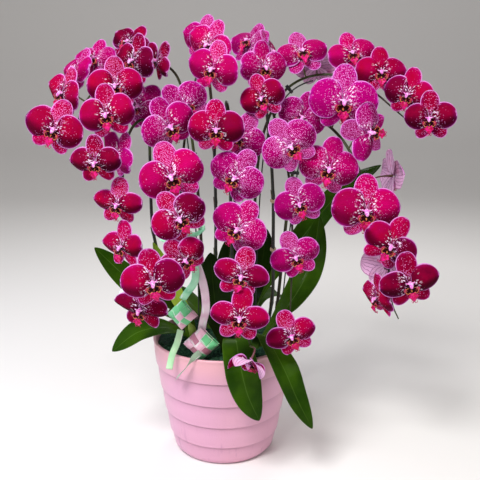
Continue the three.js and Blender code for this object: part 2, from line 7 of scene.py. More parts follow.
import logging
import math
from dataclasses import dataclass, field, replace
from enum import Enum
from functools import cached_property
from typing import Iterable, Optional, Sequence, Union

import bpy
import numpy as np
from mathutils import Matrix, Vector

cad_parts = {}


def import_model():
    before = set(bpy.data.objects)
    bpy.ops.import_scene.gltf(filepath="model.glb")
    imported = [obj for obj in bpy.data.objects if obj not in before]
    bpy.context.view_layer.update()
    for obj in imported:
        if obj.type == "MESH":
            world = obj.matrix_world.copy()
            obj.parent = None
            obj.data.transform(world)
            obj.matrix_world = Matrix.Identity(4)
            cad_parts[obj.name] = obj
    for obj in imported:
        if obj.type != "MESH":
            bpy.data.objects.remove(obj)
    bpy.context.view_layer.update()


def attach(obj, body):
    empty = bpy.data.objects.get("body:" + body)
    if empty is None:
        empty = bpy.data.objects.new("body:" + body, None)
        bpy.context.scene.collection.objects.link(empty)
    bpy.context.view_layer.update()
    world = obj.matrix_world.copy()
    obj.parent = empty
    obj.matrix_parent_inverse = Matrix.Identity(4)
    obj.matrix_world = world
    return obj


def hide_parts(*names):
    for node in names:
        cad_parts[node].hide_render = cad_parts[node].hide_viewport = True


LOG = logging.getLogger("orchid")

MM = 0.001
BODY = "root"
# The height of the moss
MOSS_TOP = 184.0

Colour = tuple[float, float, float]
Point = tuple[float, float, float]
Array = np.ndarray
Draws = np.random.Generator
Socket = bpy.types.NodeSocket
Material = bpy.types.Material
Fields = dict[str, Array]
BladeFields = dict[str, tuple[Array, Array]]


# Small helpers


def unit(vector: Array) -> Array:
    """Returns the vector, or each row of vectors, at length one."""
    length = np.linalg.norm(vector, axis=-1, keepdims=True)
    return vector / np.maximum(length, 1e-9)


def smoothstep(values: Array, low: float, high: float) -> Array:
    """Returns the smooth rise from 0 at low to 1 at high."""
    share = np.clip((values - low) / (high - low), 0.0, 1.0)
    return share * share * (3 - 2 * share)


def circle(count: int, closed: bool = False) -> Array:
    """Returns the angles of a circle's points; a closed one comes back to where it began."""
    return np.linspace(0, 2 * math.pi, count, endpoint=closed)


class Route:
    """A smooth curve through points, the same one that the model's stems and ribbons follow."""

    def __init__(self, points: Iterable[Sequence[float]], per_leg: int = 24) -> None:
        """Samples the curve.

        Args:
            points: the places that the curve passes through, in millimetres.
            per_leg: how many samples each stretch between two places gets.
        """
        knots = np.array(list(points), float)
        first = 2 * knots[0] - knots[1]
        last = 2 * knots[-1] - knots[-2]
        whole = np.vstack([first, knots, last])
        legs = [self._leg(whole[i:i + 4], per_leg) for i in range(len(knots) - 1)]
        self.points = np.vstack([*legs, knots[-1:]])
        steps = np.linalg.norm(np.diff(self.points, axis=0), axis=1)
        self.reach = np.concatenate([[0.0], np.cumsum(steps)])

    @staticmethod
    def _leg(four: Array, count: int) -> Array:
        """Samples the centripetal curve between the middle two of four points.

        Args:
            four: the four points, one a row.
            count: how many samples there are, the stretch's own end not among them.

        Returns:
            The samples, one a row.
        """
        gaps = np.maximum(np.linalg.norm(np.diff(four, axis=0), axis=1), 1e-6) ** 0.5
        p0, p1, p2, p3 = four
        g0, g1, g2 = gaps
        start = ((p1 - p0) / g0 - (p2 - p0) / (g0 + g1) + (p2 - p1) / g1) * g1
        end = ((p2 - p1) / g1 - (p3 - p1) / (g1 + g2) + (p3 - p2) / g2) * g1
        t = np.linspace(0, 1, count, endpoint=False)[:, None]
        c2 = -3 * p1 + 3 * p2 - 2 * start - end
        c3 = 2 * p1 - 2 * p2 + start + end
        return p1 + start * t + c2 * t**2 + c3 * t**3

    @property
    def length(self) -> float:
        """The curve's length in millimetres."""
        return float(self.reach[-1])

    def at(self, shares: Array) -> Array:
        """Returns the points at shares 0 to 1 of the curve's length."""
        places = np.asarray(shares, float) * self.length
        return np.stack([np.interp(places, self.reach, self.points[:, k]) for k in range(3)], axis=-1)

    def tangent(self, share: float) -> Array:
        """Returns the direction of the curve at a share of its length."""
        before, after = self.at(np.array([max(share - 0.004, 0), min(share + 0.004, 1)]))
        return unit(after - before)

    def nearest(self, place: Array, start: float = 0.0) -> Array:
        """Returns the curve's nearest point to a place, from a share of its length onwards."""
        kept = self.points[self.reach >= start * self.length]
        return kept[np.argmin(np.linalg.norm(kept - place, axis=1))]


@dataclass
class MeshMaker:
    """Gathers grids and tubes into one mesh, with named values at each point."""

    fields: tuple[str, ...] = ()
    points: list[Array] = field(default_factory=list)
    faces: list[Array] = field(default_factory=list)
    values: dict[str, list[Array]] = field(default_factory=dict)
    finishes: list[Array] = field(default_factory=list)
    count: int = 0

    # The direction that a tube's first side is turned from, and the one where the tube runs along that
    TUBE_HINT = (0.3, 0.2, 0.93)
    SPARE_HINT = (1.0, 0.0, 0.0)

    def add_faces(self, faces: Array, finish: int = 0) -> None:
        """Adds faces between points that are already there, as rows of four point numbers."""
        self.faces.append(faces)
        self.finishes.append(np.full(len(faces), finish))

    def add(self, points: Array, faces: Array, finish: int = 0,
            values: Optional[Fields] = None) -> int:
        """Adds points and their faces.

        Args:
            points: n places in millimetres.
            faces: m rows of four point numbers; a triangle repeats its last one.
            finish: the number of the material that the faces take.
            values: for each named field, three numbers a point.

        Returns:
            The number of the first point that was added.
        """
        start = self.count
        self.points.append(points)
        self.add_faces(faces + start, finish)
        for name in self.fields:
            given = (values or {}).get(name, np.zeros((len(points), 3)))
            self.values.setdefault(name, []).append(given)
        self.count += len(points)
        return start

    @staticmethod
    def grid_faces(rows: int, columns: int, around: bool = False) -> Array:
        """Works out the faces of a grid of points.

        Args:
            rows: the grid's number of rows.
            columns: the number of points in a row.
            around: whether the last column joins the first.

        Returns:
            One row of four point numbers for each face.
        """
        across = columns if around else columns - 1
        row, column = np.meshgrid(np.arange(rows - 1), np.arange(across), indexing="ij")
        following = (column + 1) % columns
        here, above = row * columns, (row + 1) * columns
        corners = [here + column, here + following, above + following, above + column]
        return np.stack([corner.ravel() for corner in corners], axis=1)

    def add_grid(self, points: Array, finish: int = 0, around: bool = False,
                 values: Optional[Fields] = None) -> int:
        """Adds a grid of points.

        Args:
            points: rows by columns of places in millimetres.
            finish: the number of its material.
            around: whether the last column joins the first.
            values: for each named field, its grid of three numbers a point.

        Returns:
            The number of the first point that was added.
        """
        rows, columns, _ = points.shape
        flat = {name: each.reshape(-1, 3) for name, each in (values or {}).items()}
        return self.add(points.reshape(-1, 3), self.grid_faces(rows, columns, around), finish, flat)

    def add_blade(self, front: Array, back: Array, finish: int = 0,
                  values: Optional[BladeFields] = None) -> int:
        """Adds a closed thin body between two grids of points of the same size.

        Args:
            front: the grid whose faces look out as their rows and columns run.
            back: the grid behind it.
            finish: the number of its material.
            values: for each named field, its grid on the front and on the back.

        Returns:
            The number of the first point that was added.
        """
        rows, columns, _ = front.shape
        around = {name: np.concatenate([near, far[:, ::-1]], axis=1)
                  for name, (near, far) in (values or {}).items()}
        points = np.concatenate([front, back[:, ::-1]], axis=1)
        first = self.add_grid(points, finish, around=True, values=around)
        near = np.arange(columns - 1)
        far = 2 * columns - 1 - near
        corners = [near, near + 1, far - 1, far]
        for row, order in ((0, (1, 0, 3, 2)), (rows - 1, (0, 1, 2, 3))):
            ends = np.stack([corners[k] for k in order], axis=1)
            self.add_faces(ends + first + row * 2 * columns, finish)
        return first

    def add_tube(self, path: Array, radii: Array, sides: int, finish: int = 0,
                 flatten: float = 1.0) -> int:
        """Adds a closed round tube along a path.

        Args:
            path: the tube's middle line, one place a row.
            radii: the tube's radius at each place.
            sides: how many sides it has.
            finish: the number of its material.
            flatten: the share of the radius across the tube's second direction.

        Returns:
            The number of the first point that was added.
        """
        tangents = unit(np.gradient(path, axis=0))
        start = np.cross(tangents[0], self.TUBE_HINT)
        if np.linalg.norm(start) < 0.1:
            start = np.cross(tangents[0], self.SPARE_HINT)
        side = unit(start)
        angles = circle(sides)
        rings = []
        for place, tangent, radius in zip(path, tangents, radii):
            side = unit(side - tangent * np.dot(side, tangent))
            other = np.cross(tangent, side)
            ring = np.cos(angles)[:, None] * side + flatten * np.sin(angles)[:, None] * other
            rings.append(place + radius * ring)
        first = self.add_grid(np.stack(rings), finish, around=True)
        for ring, place, turned in ((0, path[0], True), (len(path) - 1, path[-1], False)):
            middle = self.add(place[None], np.zeros((0, 4), int), finish)
            a = first + ring * sides + np.arange(sides)
            b = first + ring * sides + (np.arange(sides) + 1) % sides
            hub = np.full(sides, middle)
            self.add_faces(np.stack([b, a, hub, hub] if turned else [a, b, hub, hub], axis=1), finish)
        return first

    def _mesh(self, name: str) -> bpy.types.Mesh:
        """Turns what was gathered into a smooth mesh in metres.

        Args:
            name: the mesh's name.

        Returns:
            The mesh, without its materials.
        """
        points = np.vstack(self.points) * MM
        faces = np.vstack(self.faces)
        triangle = faces[:, 2] == faces[:, 3]
        sizes = np.where(triangle, 3, 4)
        keep = np.ones(faces.shape, bool)
        keep[triangle, 3] = False
        mesh = bpy.data.meshes.new(name)
        mesh.vertices.add(len(points))
        mesh.vertices.foreach_set("co", points.astype(np.float32).ravel())
        mesh.loops.add(int(sizes.sum()))
        mesh.loops.foreach_set("vertex_index", faces[keep].astype(np.int32))
        mesh.polygons.add(len(faces))
        starts = np.concatenate([[0], np.cumsum(sizes)[:-1]])
        mesh.polygons.foreach_set("loop_start", starts.astype(np.int32))
        mesh.polygons.foreach_set("material_index", np.concatenate(self.finishes).astype(np.int32))
        mesh.polygons.foreach_set("use_smooth", np.ones(len(faces), bool))
        for field_name in self.fields:
            layer = mesh.attributes.new(field_name, "FLOAT_VECTOR", "POINT")
            layer.data.foreach_set("vector", np.vstack(self.values[field_name]).astype(np.float32).ravel())
        mesh.update(calc_edges=True)
        mesh.validate()
        return mesh

    def make(self, name: str, materials: Sequence[Material], slot: str, node: str) -> bpy.types.Object:
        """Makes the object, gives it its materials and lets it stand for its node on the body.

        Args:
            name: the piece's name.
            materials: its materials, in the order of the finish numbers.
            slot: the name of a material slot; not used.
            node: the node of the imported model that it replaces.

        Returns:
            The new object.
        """
        mesh = self._mesh(name)
        for material in materials:
            mesh.materials.append(material)
        piece = bpy.data.objects.new(name, mesh)
        bpy.context.scene.collection.objects.link(piece)
        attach(piece, BODY)
        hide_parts(node)
        LOG.info("%s: %d faces", name, len(mesh.polygons))
        return piece


# Finishes


class Amount:
    """A number that a material works out at every point, with the usual arithmetic."""

    def __init__(self, bench: "NodeBench", socket: Socket) -> None:
        """Keeps the bench that the number is worked out on, and the socket that gives it."""
        self.bench = bench
        self.socket = socket

    def __add__(self, other: "Feed") -> "Amount":
        """Returns the sum."""
        return self.bench.maths("ADD", self, other)

    def __mul__(self, other: "Feed") -> "Amount":
        """Returns the product."""
        return self.bench.maths("MULTIPLY", self, other)

    def __sub__(self, other: "Feed") -> "Amount":
        """Returns the difference."""
        return self.bench.maths("SUBTRACT", self, other)

    def __rsub__(self, other: float) -> "Amount":
        """Returns a plain number less this one."""
        return self.bench.maths("SUBTRACT", other, self)

    def __abs__(self) -> "Amount":
        """Returns the number without its sign."""
        return self.bench.maths("ABSOLUTE", self)

    def clamped(self) -> "Amount":
        """Keeps this result between 0 and 1 and returns it."""
        self.socket.node.use_clamp = True
        return self


Feed = Union[Amount, Socket, float, Colour]


class NodeBench:
    """One material's node tree, with short ways to add what the finishes share."""

    def __init__(self, name: str, roughness: float, specular: float, sheen: float = 0.0,
                 coat: float = 0.0, coat_roughness: float = 0.25) -> None:
        """Makes the material and sets the shader's own values.

        Args:
            name: the material's name.
            roughness: how rough it is where no pattern changes that.
            specular: the specular level.
            sheen: how much sheen it has.
            coat: how much clear coat it has.
            coat_roughness: how rough that coat is.
        """
        self.material = bpy.data.materials.new(name)
        self.material.use_nodes = True
        self.tree = self.material.node_tree
        self.shader = self.tree.nodes["Principled BSDF"]
        own_values = {"Roughness": roughness, "Specular IOR Level": specular, "Sheen Weight": sheen,
                      "Coat Weight": coat, "Coat Roughness": coat_roughness}
        for socket, value in own_values.items():
            self.shader.inputs[socket].default_value = value

    def node(self, kind: str, feeds: dict[Union[int, str], Feed], **settings: str) -> bpy.types.Node:
        """Adds a node.

        Args:
            kind: the node's type.
            feeds: what its inputs take, by their names or numbers.
            settings: its properties by name.

        Returns:
            The new node.
        """
        made = self.tree.nodes.new(kind)
        for name, value in settings.items():
            setattr(made, name, value)
        for name, value in feeds.items():
            self.link(value, made.inputs[name])
        return made

    def link(self, value: Feed, socket: Socket) -> None:
        """Feeds a socket.

        Args:
            value: an amount, another socket, a plain number, a vector or a colour.
            socket: the socket that takes it.
        """
        source = value.socket if isinstance(value, Amount) else value
        if isinstance(source, Socket):
            self.tree.links.new(source, socket)
        elif isinstance(source, tuple) and len(socket.default_value) == 4:
            socket.default_value = (*source, 1.0)
        else:
            socket.default_value = source

    def maths(self, operation: str, *values: Feed) -> Amount:
        """Returns the result of a Math node's operation on one or two numbers."""
        made = self.node("ShaderNodeMath", dict(enumerate(values)), operation=operation)
        return Amount(self, made.outputs[0])

    def ridges(self, angle: Amount) -> Amount:
        """Returns the height of a row of ridges, which is 0 on the lines between them."""
        return abs(self.maths("SINE", angle))

    def step(self, value: Feed, low: float, high: float) -> Amount:
        """Returns a smooth rise from 0 at low to 1 at high, or a smooth fall where low is above high."""
        feeds = {"Value": value, "From Min": low, "From Max": high}
        made = self.node("ShaderNodeMapRange", feeds, interpolation_type="SMOOTHSTEP")
        return Amount(self, made.outputs["Result"])

    def mix(self, share: Feed, ground: Feed, over: Feed) -> Socket:
        """Returns the ground colour with a share of the other one over it."""
        return self.node("ShaderNodeMix", {"Factor": share, 6: ground, 7: over}, data_type="RGBA").outputs[2]

    def parts(self, vector: Feed) -> tuple[Amount, ...]:
        """Returns the three numbers of a vector."""
        made = self.node("ShaderNodeSeparateXYZ", {0: vector})
        return tuple(Amount(self, output) for output in made.outputs)

    def values(self, name: str) -> tuple[Socket, Amount, Amount, Amount]:
        """Returns a named field of the mesh as a vector and as its three numbers."""
        vector = self.node("ShaderNodeAttribute", {}, attribute_name=name).outputs["Vector"]
        return (vector, *self.parts(vector))

    def places(self) -> Socket:
        """Returns the place on the object, in metres."""
        return self.node("ShaderNodeTexCoord", {}).outputs["Object"]

    def scaled(self, vector: Feed, scale: Point) -> Socket:
        """Returns a vector with each of its numbers scaled."""
        return self.node("ShaderNodeMapping", {"Vector": vector, "Scale": scale}).outputs[0]

    def joined(self, *numbers: Feed) -> Socket:
        """Returns the vector of three numbers."""
        return self.node("ShaderNodeCombineXYZ", dict(enumerate(numbers))).outputs[0]

    def noise(self, vector: Feed, scale: float, detail: float = 2.0) -> Amount:
        """Returns a soft noise from 0 to 1; detail is how many finer layers lie on it."""
        made = self.node("ShaderNodeTexNoise", {"Vector": vector, "Scale": scale, "Detail": detail})
        return Amount(self, made.outputs["Fac"])

    def cells(self, vector: Feed, disorder: float) -> tuple[Amount, Amount]:
        """Adds a pattern of cells, one to a unit.

        Args:
            vector: where it is looked up.
            disorder: how far the cells' middles stray from a grid, up to 1.

        Returns:
            The distance to the cell's middle, and one random number a cell.
        """
        made = self.node("ShaderNodeTexVoronoi", {"Vector": vector, "Scale": 1.0, "Randomness": disorder})
        chance, _, _ = self.parts(made.outputs["Color"])
        return Amount(self, made.outputs["Distance"]), chance

    def bump(self, height: Amount, depth: float) -> None:
        """Lets a height, as a share of a depth in metres, raise the surface."""
        made = self.node("ShaderNodeBump", {"Strength": 1.0, "Distance": depth, "Height": height})
        self.link(made.outputs[0], self.shader.inputs["Normal"])

    def colour(self, value: Feed) -> None:
        """Sets the base colour."""
        self.link(value, self.shader.inputs["Base Color"])

    def roughness(self, value: Feed) -> None:
        """Sets a roughness that a pattern changes."""
        self.link(value, self.shader.inputs["Roughness"])


@dataclass(frozen=True)
class Wash:
    """A colour that is laid over the ground as a number goes from the low to the high end of a range."""

    colour: Colour
    low: float
    high: float
    strength: float = 1.0

    def over(self, bench: NodeBench, ground: Feed, value: Feed, share: Feed = 1.0) -> Socket:
        """Lays the colour over the ground.

        Args:
            bench: the material's bench.
            ground: the colour below.
            value: the number that says where the wash shows.
            share: how much of its strength it gets.

        Returns:
            The new colour.
        """
        amount = bench.step(value, self.low, self.high) * (share * self.strength)
        return bench.mix(amount, ground, self.colour)


@dataclass(frozen=True)
class PetalFinish:
    """Velvety petals: crimson inside a magenta margin, pale flecks along the veins, a pale rim.

    The petals' fields hold, point by point, in place the spot on the flattened petal, in millimetres, and
    the petal's own number; in marks how red and how flecked it is and 1 for the back; in form the
    millimetres to the rim and the shares along and across; in fold the share of the lower half, which
    painted shade darkens along with some deeper colour of its own, and how dark the petal is.
    """

    magenta: Colour = (0.56, 0.001, 0.16)
    crimson: Colour = (0.42, 0.0002, 0.034)
    shade: Colour = (0.04, 0.0001, 0.009)
    back: Colour = (0.82, 0.5, 0.74)

    # By redness
    plum: Wash = Wash((0.29, 0.001, 0.11), 0.55, 0.1, 0.8)
    violet: Wash = Wash((0.45, 0.001, 0.17), -0.05, -0.2, 0.85)
    gloom: Wash = Wash((0.1, 0.0002, 0.02), 0.2, 0.9, 0.85)
    # By the slow noise
    night: Wash = Wash((0.1, 0.0002, 0.02), 0.75, 0.3, 0.85)
    flush: Wash = Wash((0.56, 0.001, 0.16), 0.5, 0.75, 0.4)
    # By the distance to the rim in millimetres
    margin: Wash = Wash((0.46, 0.006, 0.3), 6.0, 0.3)
    rim: Wash = Wash((0.8, 0.33, 0.8), 1.2, 0.3, 0.75)
    # By the height between two veins
    vein: Wash = Wash((0.04, 0.0001, 0.009), 0.5, 0.0)
    back_vein: Wash = Wash((0.22, 0.03, 0.16), 0.5, 0.0, 0.75)
    # By the distance to a fleck's edge, and to a streak's middle
    fleck: Wash = Wash((0.85, 0.27, 0.75), 0.06, -0.08, 0.78)
    streak: Wash = Wash((0.94, 0.72, 0.93), 0.44, 0.28, 0.95)

    # Cells of flecks and of streaks across half a petal's breadth, and to a millimetre along it
    DOT_COLUMNS = 14.0
    DOT_ROWS = 0.46
    STREAK_COLUMNS = 9.0
    STREAK_ROWS = 0.2
    # The angle in radians that the waves of the back's veins run through across half that breadth
    BACK_VEINS = 13.0
    # Shares of the length where the throat's shade, the crowded flecks and the streaks begin and are full
    THROAT = (0.4, 0.04)
    CROWDED = (0.62, 0.2)
    HEART = (0.42, 0.16)
    # Distances to the rim between which the flecks come in
    FLECKED_INSIDE = (0.4, 1.6)
    # The redness between which whole blooms darken, and that between which the veins show more
    NIGHT_FALL = (0.75, 1.15)
    LINED = (0.7, 0.1)
    STREAK_CHANCE = 0.6
    SWAY = 0.16
    RAGGED = 0.9
    GRAIN_STRETCH = (1.0, 0.45, 1.0)
    RELIEF = 0.0004

    def material(self) -> Material:
        """Builds the petals' material.

        Returns:
            The material.
        """
        bench = NodeBench("petal velvet", roughness=0.6, specular=0.015)
        place, _, _, _ = bench.values("place")
        _, _, _, back = bench.values("marks")
        _, edge, _, across = bench.values("form")
        cloud = bench.noise(place, 0.06, 3.0)
        swayed = across + (bench.noise(place, 0.22) - 0.5) * self.SWAY
        lines = bench.ridges(swayed * (self.DOT_COLUMNS * math.pi))
        front = self._ground(bench, cloud, lines)
        front = self._flecked(bench, front, swayed)
        front = self.rim.over(bench, front, edge - bench.noise(place, 0.6) * self.RAGGED)
        rear = self.back_vein.over(bench, self.back, bench.ridges(swayed * self.BACK_VEINS))
        rear = self.flush.over(bench, rear, cloud)
        bench.colour(bench.mix(back, front, rear))
        grain = bench.noise(bench.scaled(place, self.GRAIN_STRETCH), 1.3, 3.0)
        bench.bump(grain - bench.step(lines, 0.35, 0.0) * 0.7, self.RELIEF)
        return bench.material

    def _ground(self, bench: NodeBench, cloud: Amount, lines: Amount) -> Socket:
        """Colours the petals under the flecks.

        Args:
            bench: the material's bench.
            cloud: a slow noise.
            lines: a value that falls to 0 on the veins.

        Returns:
            The colour.
        """
        _, redness, _, _ = bench.values("marks")
        _, edge, along, _ = bench.values("form")
        _, low, gloom, _ = bench.values("fold")
        warm = (redness + (cloud - 0.5) * 0.9).clamped()
        ground = bench.mix(warm, self.magenta, self.crimson)
        ground = self.plum.over(bench, ground, redness)
        ground = self.violet.over(bench, ground, redness)
        ground = self.night.over(bench, ground, cloud, bench.step(redness, *self.NIGHT_FALL))
        ground = self.gloom.over(bench, ground, redness, gloom)
        # Painted shade on the lower half below the fold, partly the petal's own deeper colour
        ground = bench.mix(low * (redness * 0.5 + 0.35), ground, self.shade)
        ground = self.margin.over(bench, ground, edge, 0.75 - redness * 0.5)
        throat = (bench.step(along, *self.THROAT) * (redness + 0.3)).clamped()
        ground = bench.mix(throat * 0.6, ground, self.shade)
        return self.vein.over(bench, ground, lines, bench.step(redness, *self.LINED) * 0.48 + 0.22)

    def _flecked(self, bench: NodeBench, ground: Feed, swayed: Amount) -> Socket:
        """Lays the pale flecks and the bright streaks round the heart over the ground.

        Args:
            bench: the material's bench.
            ground: the colour under the flecks.
            swayed: the share across the petal, along veins that sway a little.

        Returns:
            The colour.
        """
        _, _, length, seed = bench.values("place")
        _, _, flecks, _ = bench.values("marks")
        _, edge, along, _ = bench.values("form")
        dotted = bench.joined(swayed * self.DOT_COLUMNS, length * self.DOT_ROWS, seed)
        distance, chance = bench.cells(dotted, 0.5)
        wanted = (bench.step(along, *self.CROWDED) * 0.5 + flecks).clamped()
        radius = wanted * 0.12 + 0.22
        shown = bench.maths("LESS_THAN", chance, wanted) * bench.step(edge, *self.FLECKED_INSIDE)
        speckled = self.fleck.over(bench, ground, distance - radius, shown)
        rays = bench.joined(swayed * self.STREAK_COLUMNS, length * self.STREAK_ROWS, seed)
        far, luck = bench.cells(rays, 0.9)
        heart = bench.step(along, *self.HEART) * bench.maths("LESS_THAN", luck, self.STREAK_CHANCE)
        return self.streak.over(bench, speckled, far, heart)


@dataclass(frozen=True)
class CloudedFinish:
    """A matter of one hue, clouded towards a second one, with a fine grain."""

    name: str
    first: Colour
    second: Colour
    scale: float = 100.0
    depth: float = 0.001
    roughness: float = 0.85
    specular: float = 0.2

    # Where in the noise the second hue comes in, and how strong it gets
    CLOUDED = (0.35, 0.65, 1.0)
    CLOUD_DETAIL = 4.0
    # How much finer than the clouds the grain is
    GRAIN = 3.0
    GRAIN_DETAIL = 4.0
    GRAIN_STRETCH = (1.0, 1.0, 1.0)

    def material(self) -> Material:
        """Builds the material.

        Returns:
            The material.
        """
        bench = NodeBench(self.name, self.roughness, self.specular)
        places = bench.places()
        clouds = bench.noise(places, self.scale, self.CLOUD_DETAIL)
        bench.colour(Wash(self.second, *self.CLOUDED).over(bench, self.first, clouds))
        stretched = bench.scaled(places, self.GRAIN_STRETCH)
        bench.bump(bench.noise(stretched, self.scale * self.GRAIN, self.GRAIN_DETAIL), self.depth)
        return bench.material


@dataclass(frozen=True)
class FleshFinish(CloudedFinish):
    """A waxy flower part."""

    scale: float = 260.0
    depth: float = 0.0002
    roughness: float = 0.35

    CLOUDED = (0.4, 0.62, 1.0)
    CLOUD_DETAIL = 2.0
    GRAIN = 5.0
    GRAIN_DETAIL = 2.0


@dataclass(frozen=True)
class StemFinish(CloudedFinish):
    """Fleshy flower stems, green and flushed with dark purple, faintly ribbed."""

    name: str = "flower stem"
    first: Colour = (0.04, 0.055, 0.014)
    second: Colour = (0.028, 0.011, 0.012)
    scale: float = 16.0
    depth: float = 0.0003
    roughness: float = 0.42
    specular: float = 0.25

    CLOUDED = (0.3, 0.68, 1.0)
    CLOUD_DETAIL = 3.0
    GRAIN = 18.75
    GRAIN_DETAIL = 3.0
    GRAIN_STRETCH = (1.0, 1.0, 0.12)


@dataclass(frozen=True)
class PlasticFinish(CloudedFinish):
    """Moulded or coated small parts, scuffed a little."""

    scale: float = 160.0
    depth: float = 0.00015
    roughness: float = 0.4
    specular: float = 0.45

    CLOUDED = (0.52, 0.7, 0.5)
    GRAIN = 4.375
    GRAIN_DETAIL = 2.0


@dataclass(frozen=True)
class LeafFinish:
    """Glossy strap leaves with fine lengthwise veins, a pale midrib line and mottling."""

    name: str
    deep: Colour = (0.012, 0.042, 0.0006)
    fresh: Colour = (0.034, 0.09, 0.0015)
    vein: Colour = (0.1, 0.19, 0.03)
    under: Colour = (0.06, 0.13, 0.018)
    foot: Colour = (0.085, 0.18, 0.012)

    # Ranges and strengths: by the noise, by the share along, between veins and by the share across
    MOTTLED = (0.32, 0.68)
    TIP = (0.55, 1.0, 0.5)
    FOOT = (0.5, 0.1, 0.6)
    FINE_VEIN = (0.35, 0.0, 0.12)
    MIDRIB = (0.055, 0.0, 0.45)
    MARGIN = (0.93, 1.0, 0.4)
    # The angle in radians that the waves of the veins run through across half the leaf
    VEINS = 44.0
    RELIEF = 0.0006

    def material(self) -> Material:
        """Builds the material.

        Returns:
            The material; it reads the field form of the leaves.
        """
        bench = NodeBench(self.name, roughness=0.42, specular=0.03, coat=0.06, coat_roughness=0.12)
        places = bench.places()
        _, across, along, under = bench.values("form")
        blotch = bench.noise(places, 22.0, 4.0)
        lines = bench.ridges(across * self.VEINS)
        tone = Wash(self.fresh, *self.MOTTLED).over(bench, self.deep, blotch)
        tone = Wash(self.deep, *self.TIP).over(bench, tone, along)
        tone = Wash(self.foot, *self.FOOT).over(bench, tone, along)
        tone = Wash(self.vein, *self.FINE_VEIN).over(bench, tone, lines)
        tone = Wash(self.vein, *self.MIDRIB).over(bench, tone, abs(across))
        tone = Wash(self.vein, *self.MARGIN).over(bench, tone, abs(across))
        bench.colour(bench.mix(under, tone, self.under))
        bench.roughness(blotch * 0.18 + 0.36)
        bench.bump(bench.noise(places, 60.0, 3.0) - bench.step(lines, 0.35, 0.0) * 0.5, self.RELIEF)
        return bench.material


@dataclass(frozen=True)
class PotFinish:
    """Satin pink pot, a little streaked towards its foot, warmer in clouds, with a painted warm reflection
    towards its rim and painted shade in its crevices.
    """

    body: Colour = (0.68, 0.35, 0.5)
    # The warm tone of the clouds, and of the painted reflection towards the rim
    warm: Colour = (0.78, 0.4, 0.45)
    streak: Colour = (0.48, 0.23, 0.36)
    # The colour of the painted shade in the crevices
    crevice: Colour = (0.3, 0.13, 0.2)

    CLOUDED = (0.35, 0.7)
    # Shares of the height between which a painted warm reflection comes in towards the rim, and the streaks
    # get more
    REFLECTION_TOP = (0.72, 1.0)
    STREAKED_FOOT = (0.45, 0.0)
    STREAKS = (0.56, 0.72)
    STREAK_STRETCH = (1.0, 1.0, 0.09)
    RELIEF = 0.0002

    def material(self) -> Material:
        """Builds the material.

        Returns:
            The material; it reads the field form of the pot.
        """
        bench = NodeBench("pot satin", roughness=0.38, specular=0.45, coat=0.08)
        places = bench.places()
        _, painted_shade, height, inner = bench.values("form")
        clouded = bench.step(bench.noise(places, 9.0, 3.0), *self.CLOUDED)
        # Warmer in random clouds, with a painted warm reflection towards the rim
        warm_tone_and_reflection = clouded * 0.25 + bench.step(height, *self.REFLECTION_TOP) * 0.75
        drawn = bench.noise(bench.scaled(places, self.STREAK_STRETCH), 120.0, 4.0)
        low = bench.step(height, *self.STREAKED_FOOT) + 0.08
        streaks = (bench.step(drawn, *self.STREAKS) * low).clamped()
        tone = bench.mix(warm_tone_and_reflection, self.body, self.warm)
        tone = bench.mix(streaks * 0.6, tone, self.streak)
        # Painted shade under each band's edge and at the foot
        tone = bench.mix(painted_shade * 0.6, tone, self.crevice)
        # The inside is darker: painted shade
        bench.colour(bench.mix(inner * 0.25, tone, self.streak))
        bench.roughness(drawn * 0.16 + 0.32)
        bench.bump(bench.noise(places, 420.0) + drawn * 0.8, self.RELIEF)
        return bench.material


@dataclass(frozen=True)
class SatinFinish:
    """Satin ribbon: a fine cross weave, painted fold shade and painted highlight streaks along its length,
    and along its edges either a painted highlight in an edge colour or the fold's painted shade.
    """

    name: str
    face: Colour
    # The darker colour that comes in along the length is painted fold shade
    fold: Colour
    width: float = 11.0
    # Where given, the painted highlight along a woven check's raised edges
    edge: Optional[Colour] = None

    # A painted highlight: pale streaks along the ribbon's length
    PAINTED_HIGHLIGHT = Wash((0.97, 1.0, 0.97), 0.54, 0.72, 0.7)
    # Where in the slow noise the painted fold shade comes in
    FOLD_SHADE = (0.42, 0.68)
    # Millimetres inside the ribbon's edge between which its painted edge comes in: a painted highlight where
    # the satin has an edge colour, else the fold's painted shade
    PAINTED_EDGE_BAND = (1.0, 0.3)
    # How strong the painted edge highlight is, and the fold's painted shade at plain edges
    EDGE_HIGHLIGHT = 0.8
    EDGE_SHADE = 0.4
    CLOUD_STRETCH = (0.02, 0.035, 1.0)
    HIGHLIGHT_STRETCH = (0.2, 0.045, 1.0)
    # Threads along and across, in radians to a millimetre
    WEFT = 9.0
    WARP = 14.0
    RELIEF = 0.00007

    def material(self) -> Material:
        """Builds the material.

        Returns:
            The material; it reads the field form of the ribbons, in millimetres.
        """
        bench = NodeBench(self.name, roughness=0.3, specular=0.7, sheen=0.25)
        form, across, along, _ = bench.values("form")
        cloud = bench.noise(bench.scaled(form, self.CLOUD_STRETCH), 1.0, 1.0)
        tone = Wash(self.fold, *self.FOLD_SHADE).over(bench, self.face, cloud)
        # Along the edges: a painted highlight where an edge colour is given, else the fold's painted shade
        reach = [self.width / 2 - inside for inside in self.PAINTED_EDGE_BAND]
        strength = self.EDGE_HIGHLIGHT if self.edge else self.EDGE_SHADE
        tone = Wash(self.edge or self.fold, *reach, strength).over(bench, tone, abs(across))
        # Painted highlight streaks along the length
        highlight_streaks = bench.noise(bench.scaled(form, self.HIGHLIGHT_STRETCH), 1.0, 1.0)
        bench.colour(self.PAINTED_HIGHLIGHT.over(bench, tone, highlight_streaks))
        bench.roughness(cloud * 0.2 + 0.24)
        weft = bench.maths("SINE", along * self.WEFT)
        bench.bump(weft + bench.maths("SINE", across * self.WARP) * 0.6, self.RELIEF)
        return bench.material


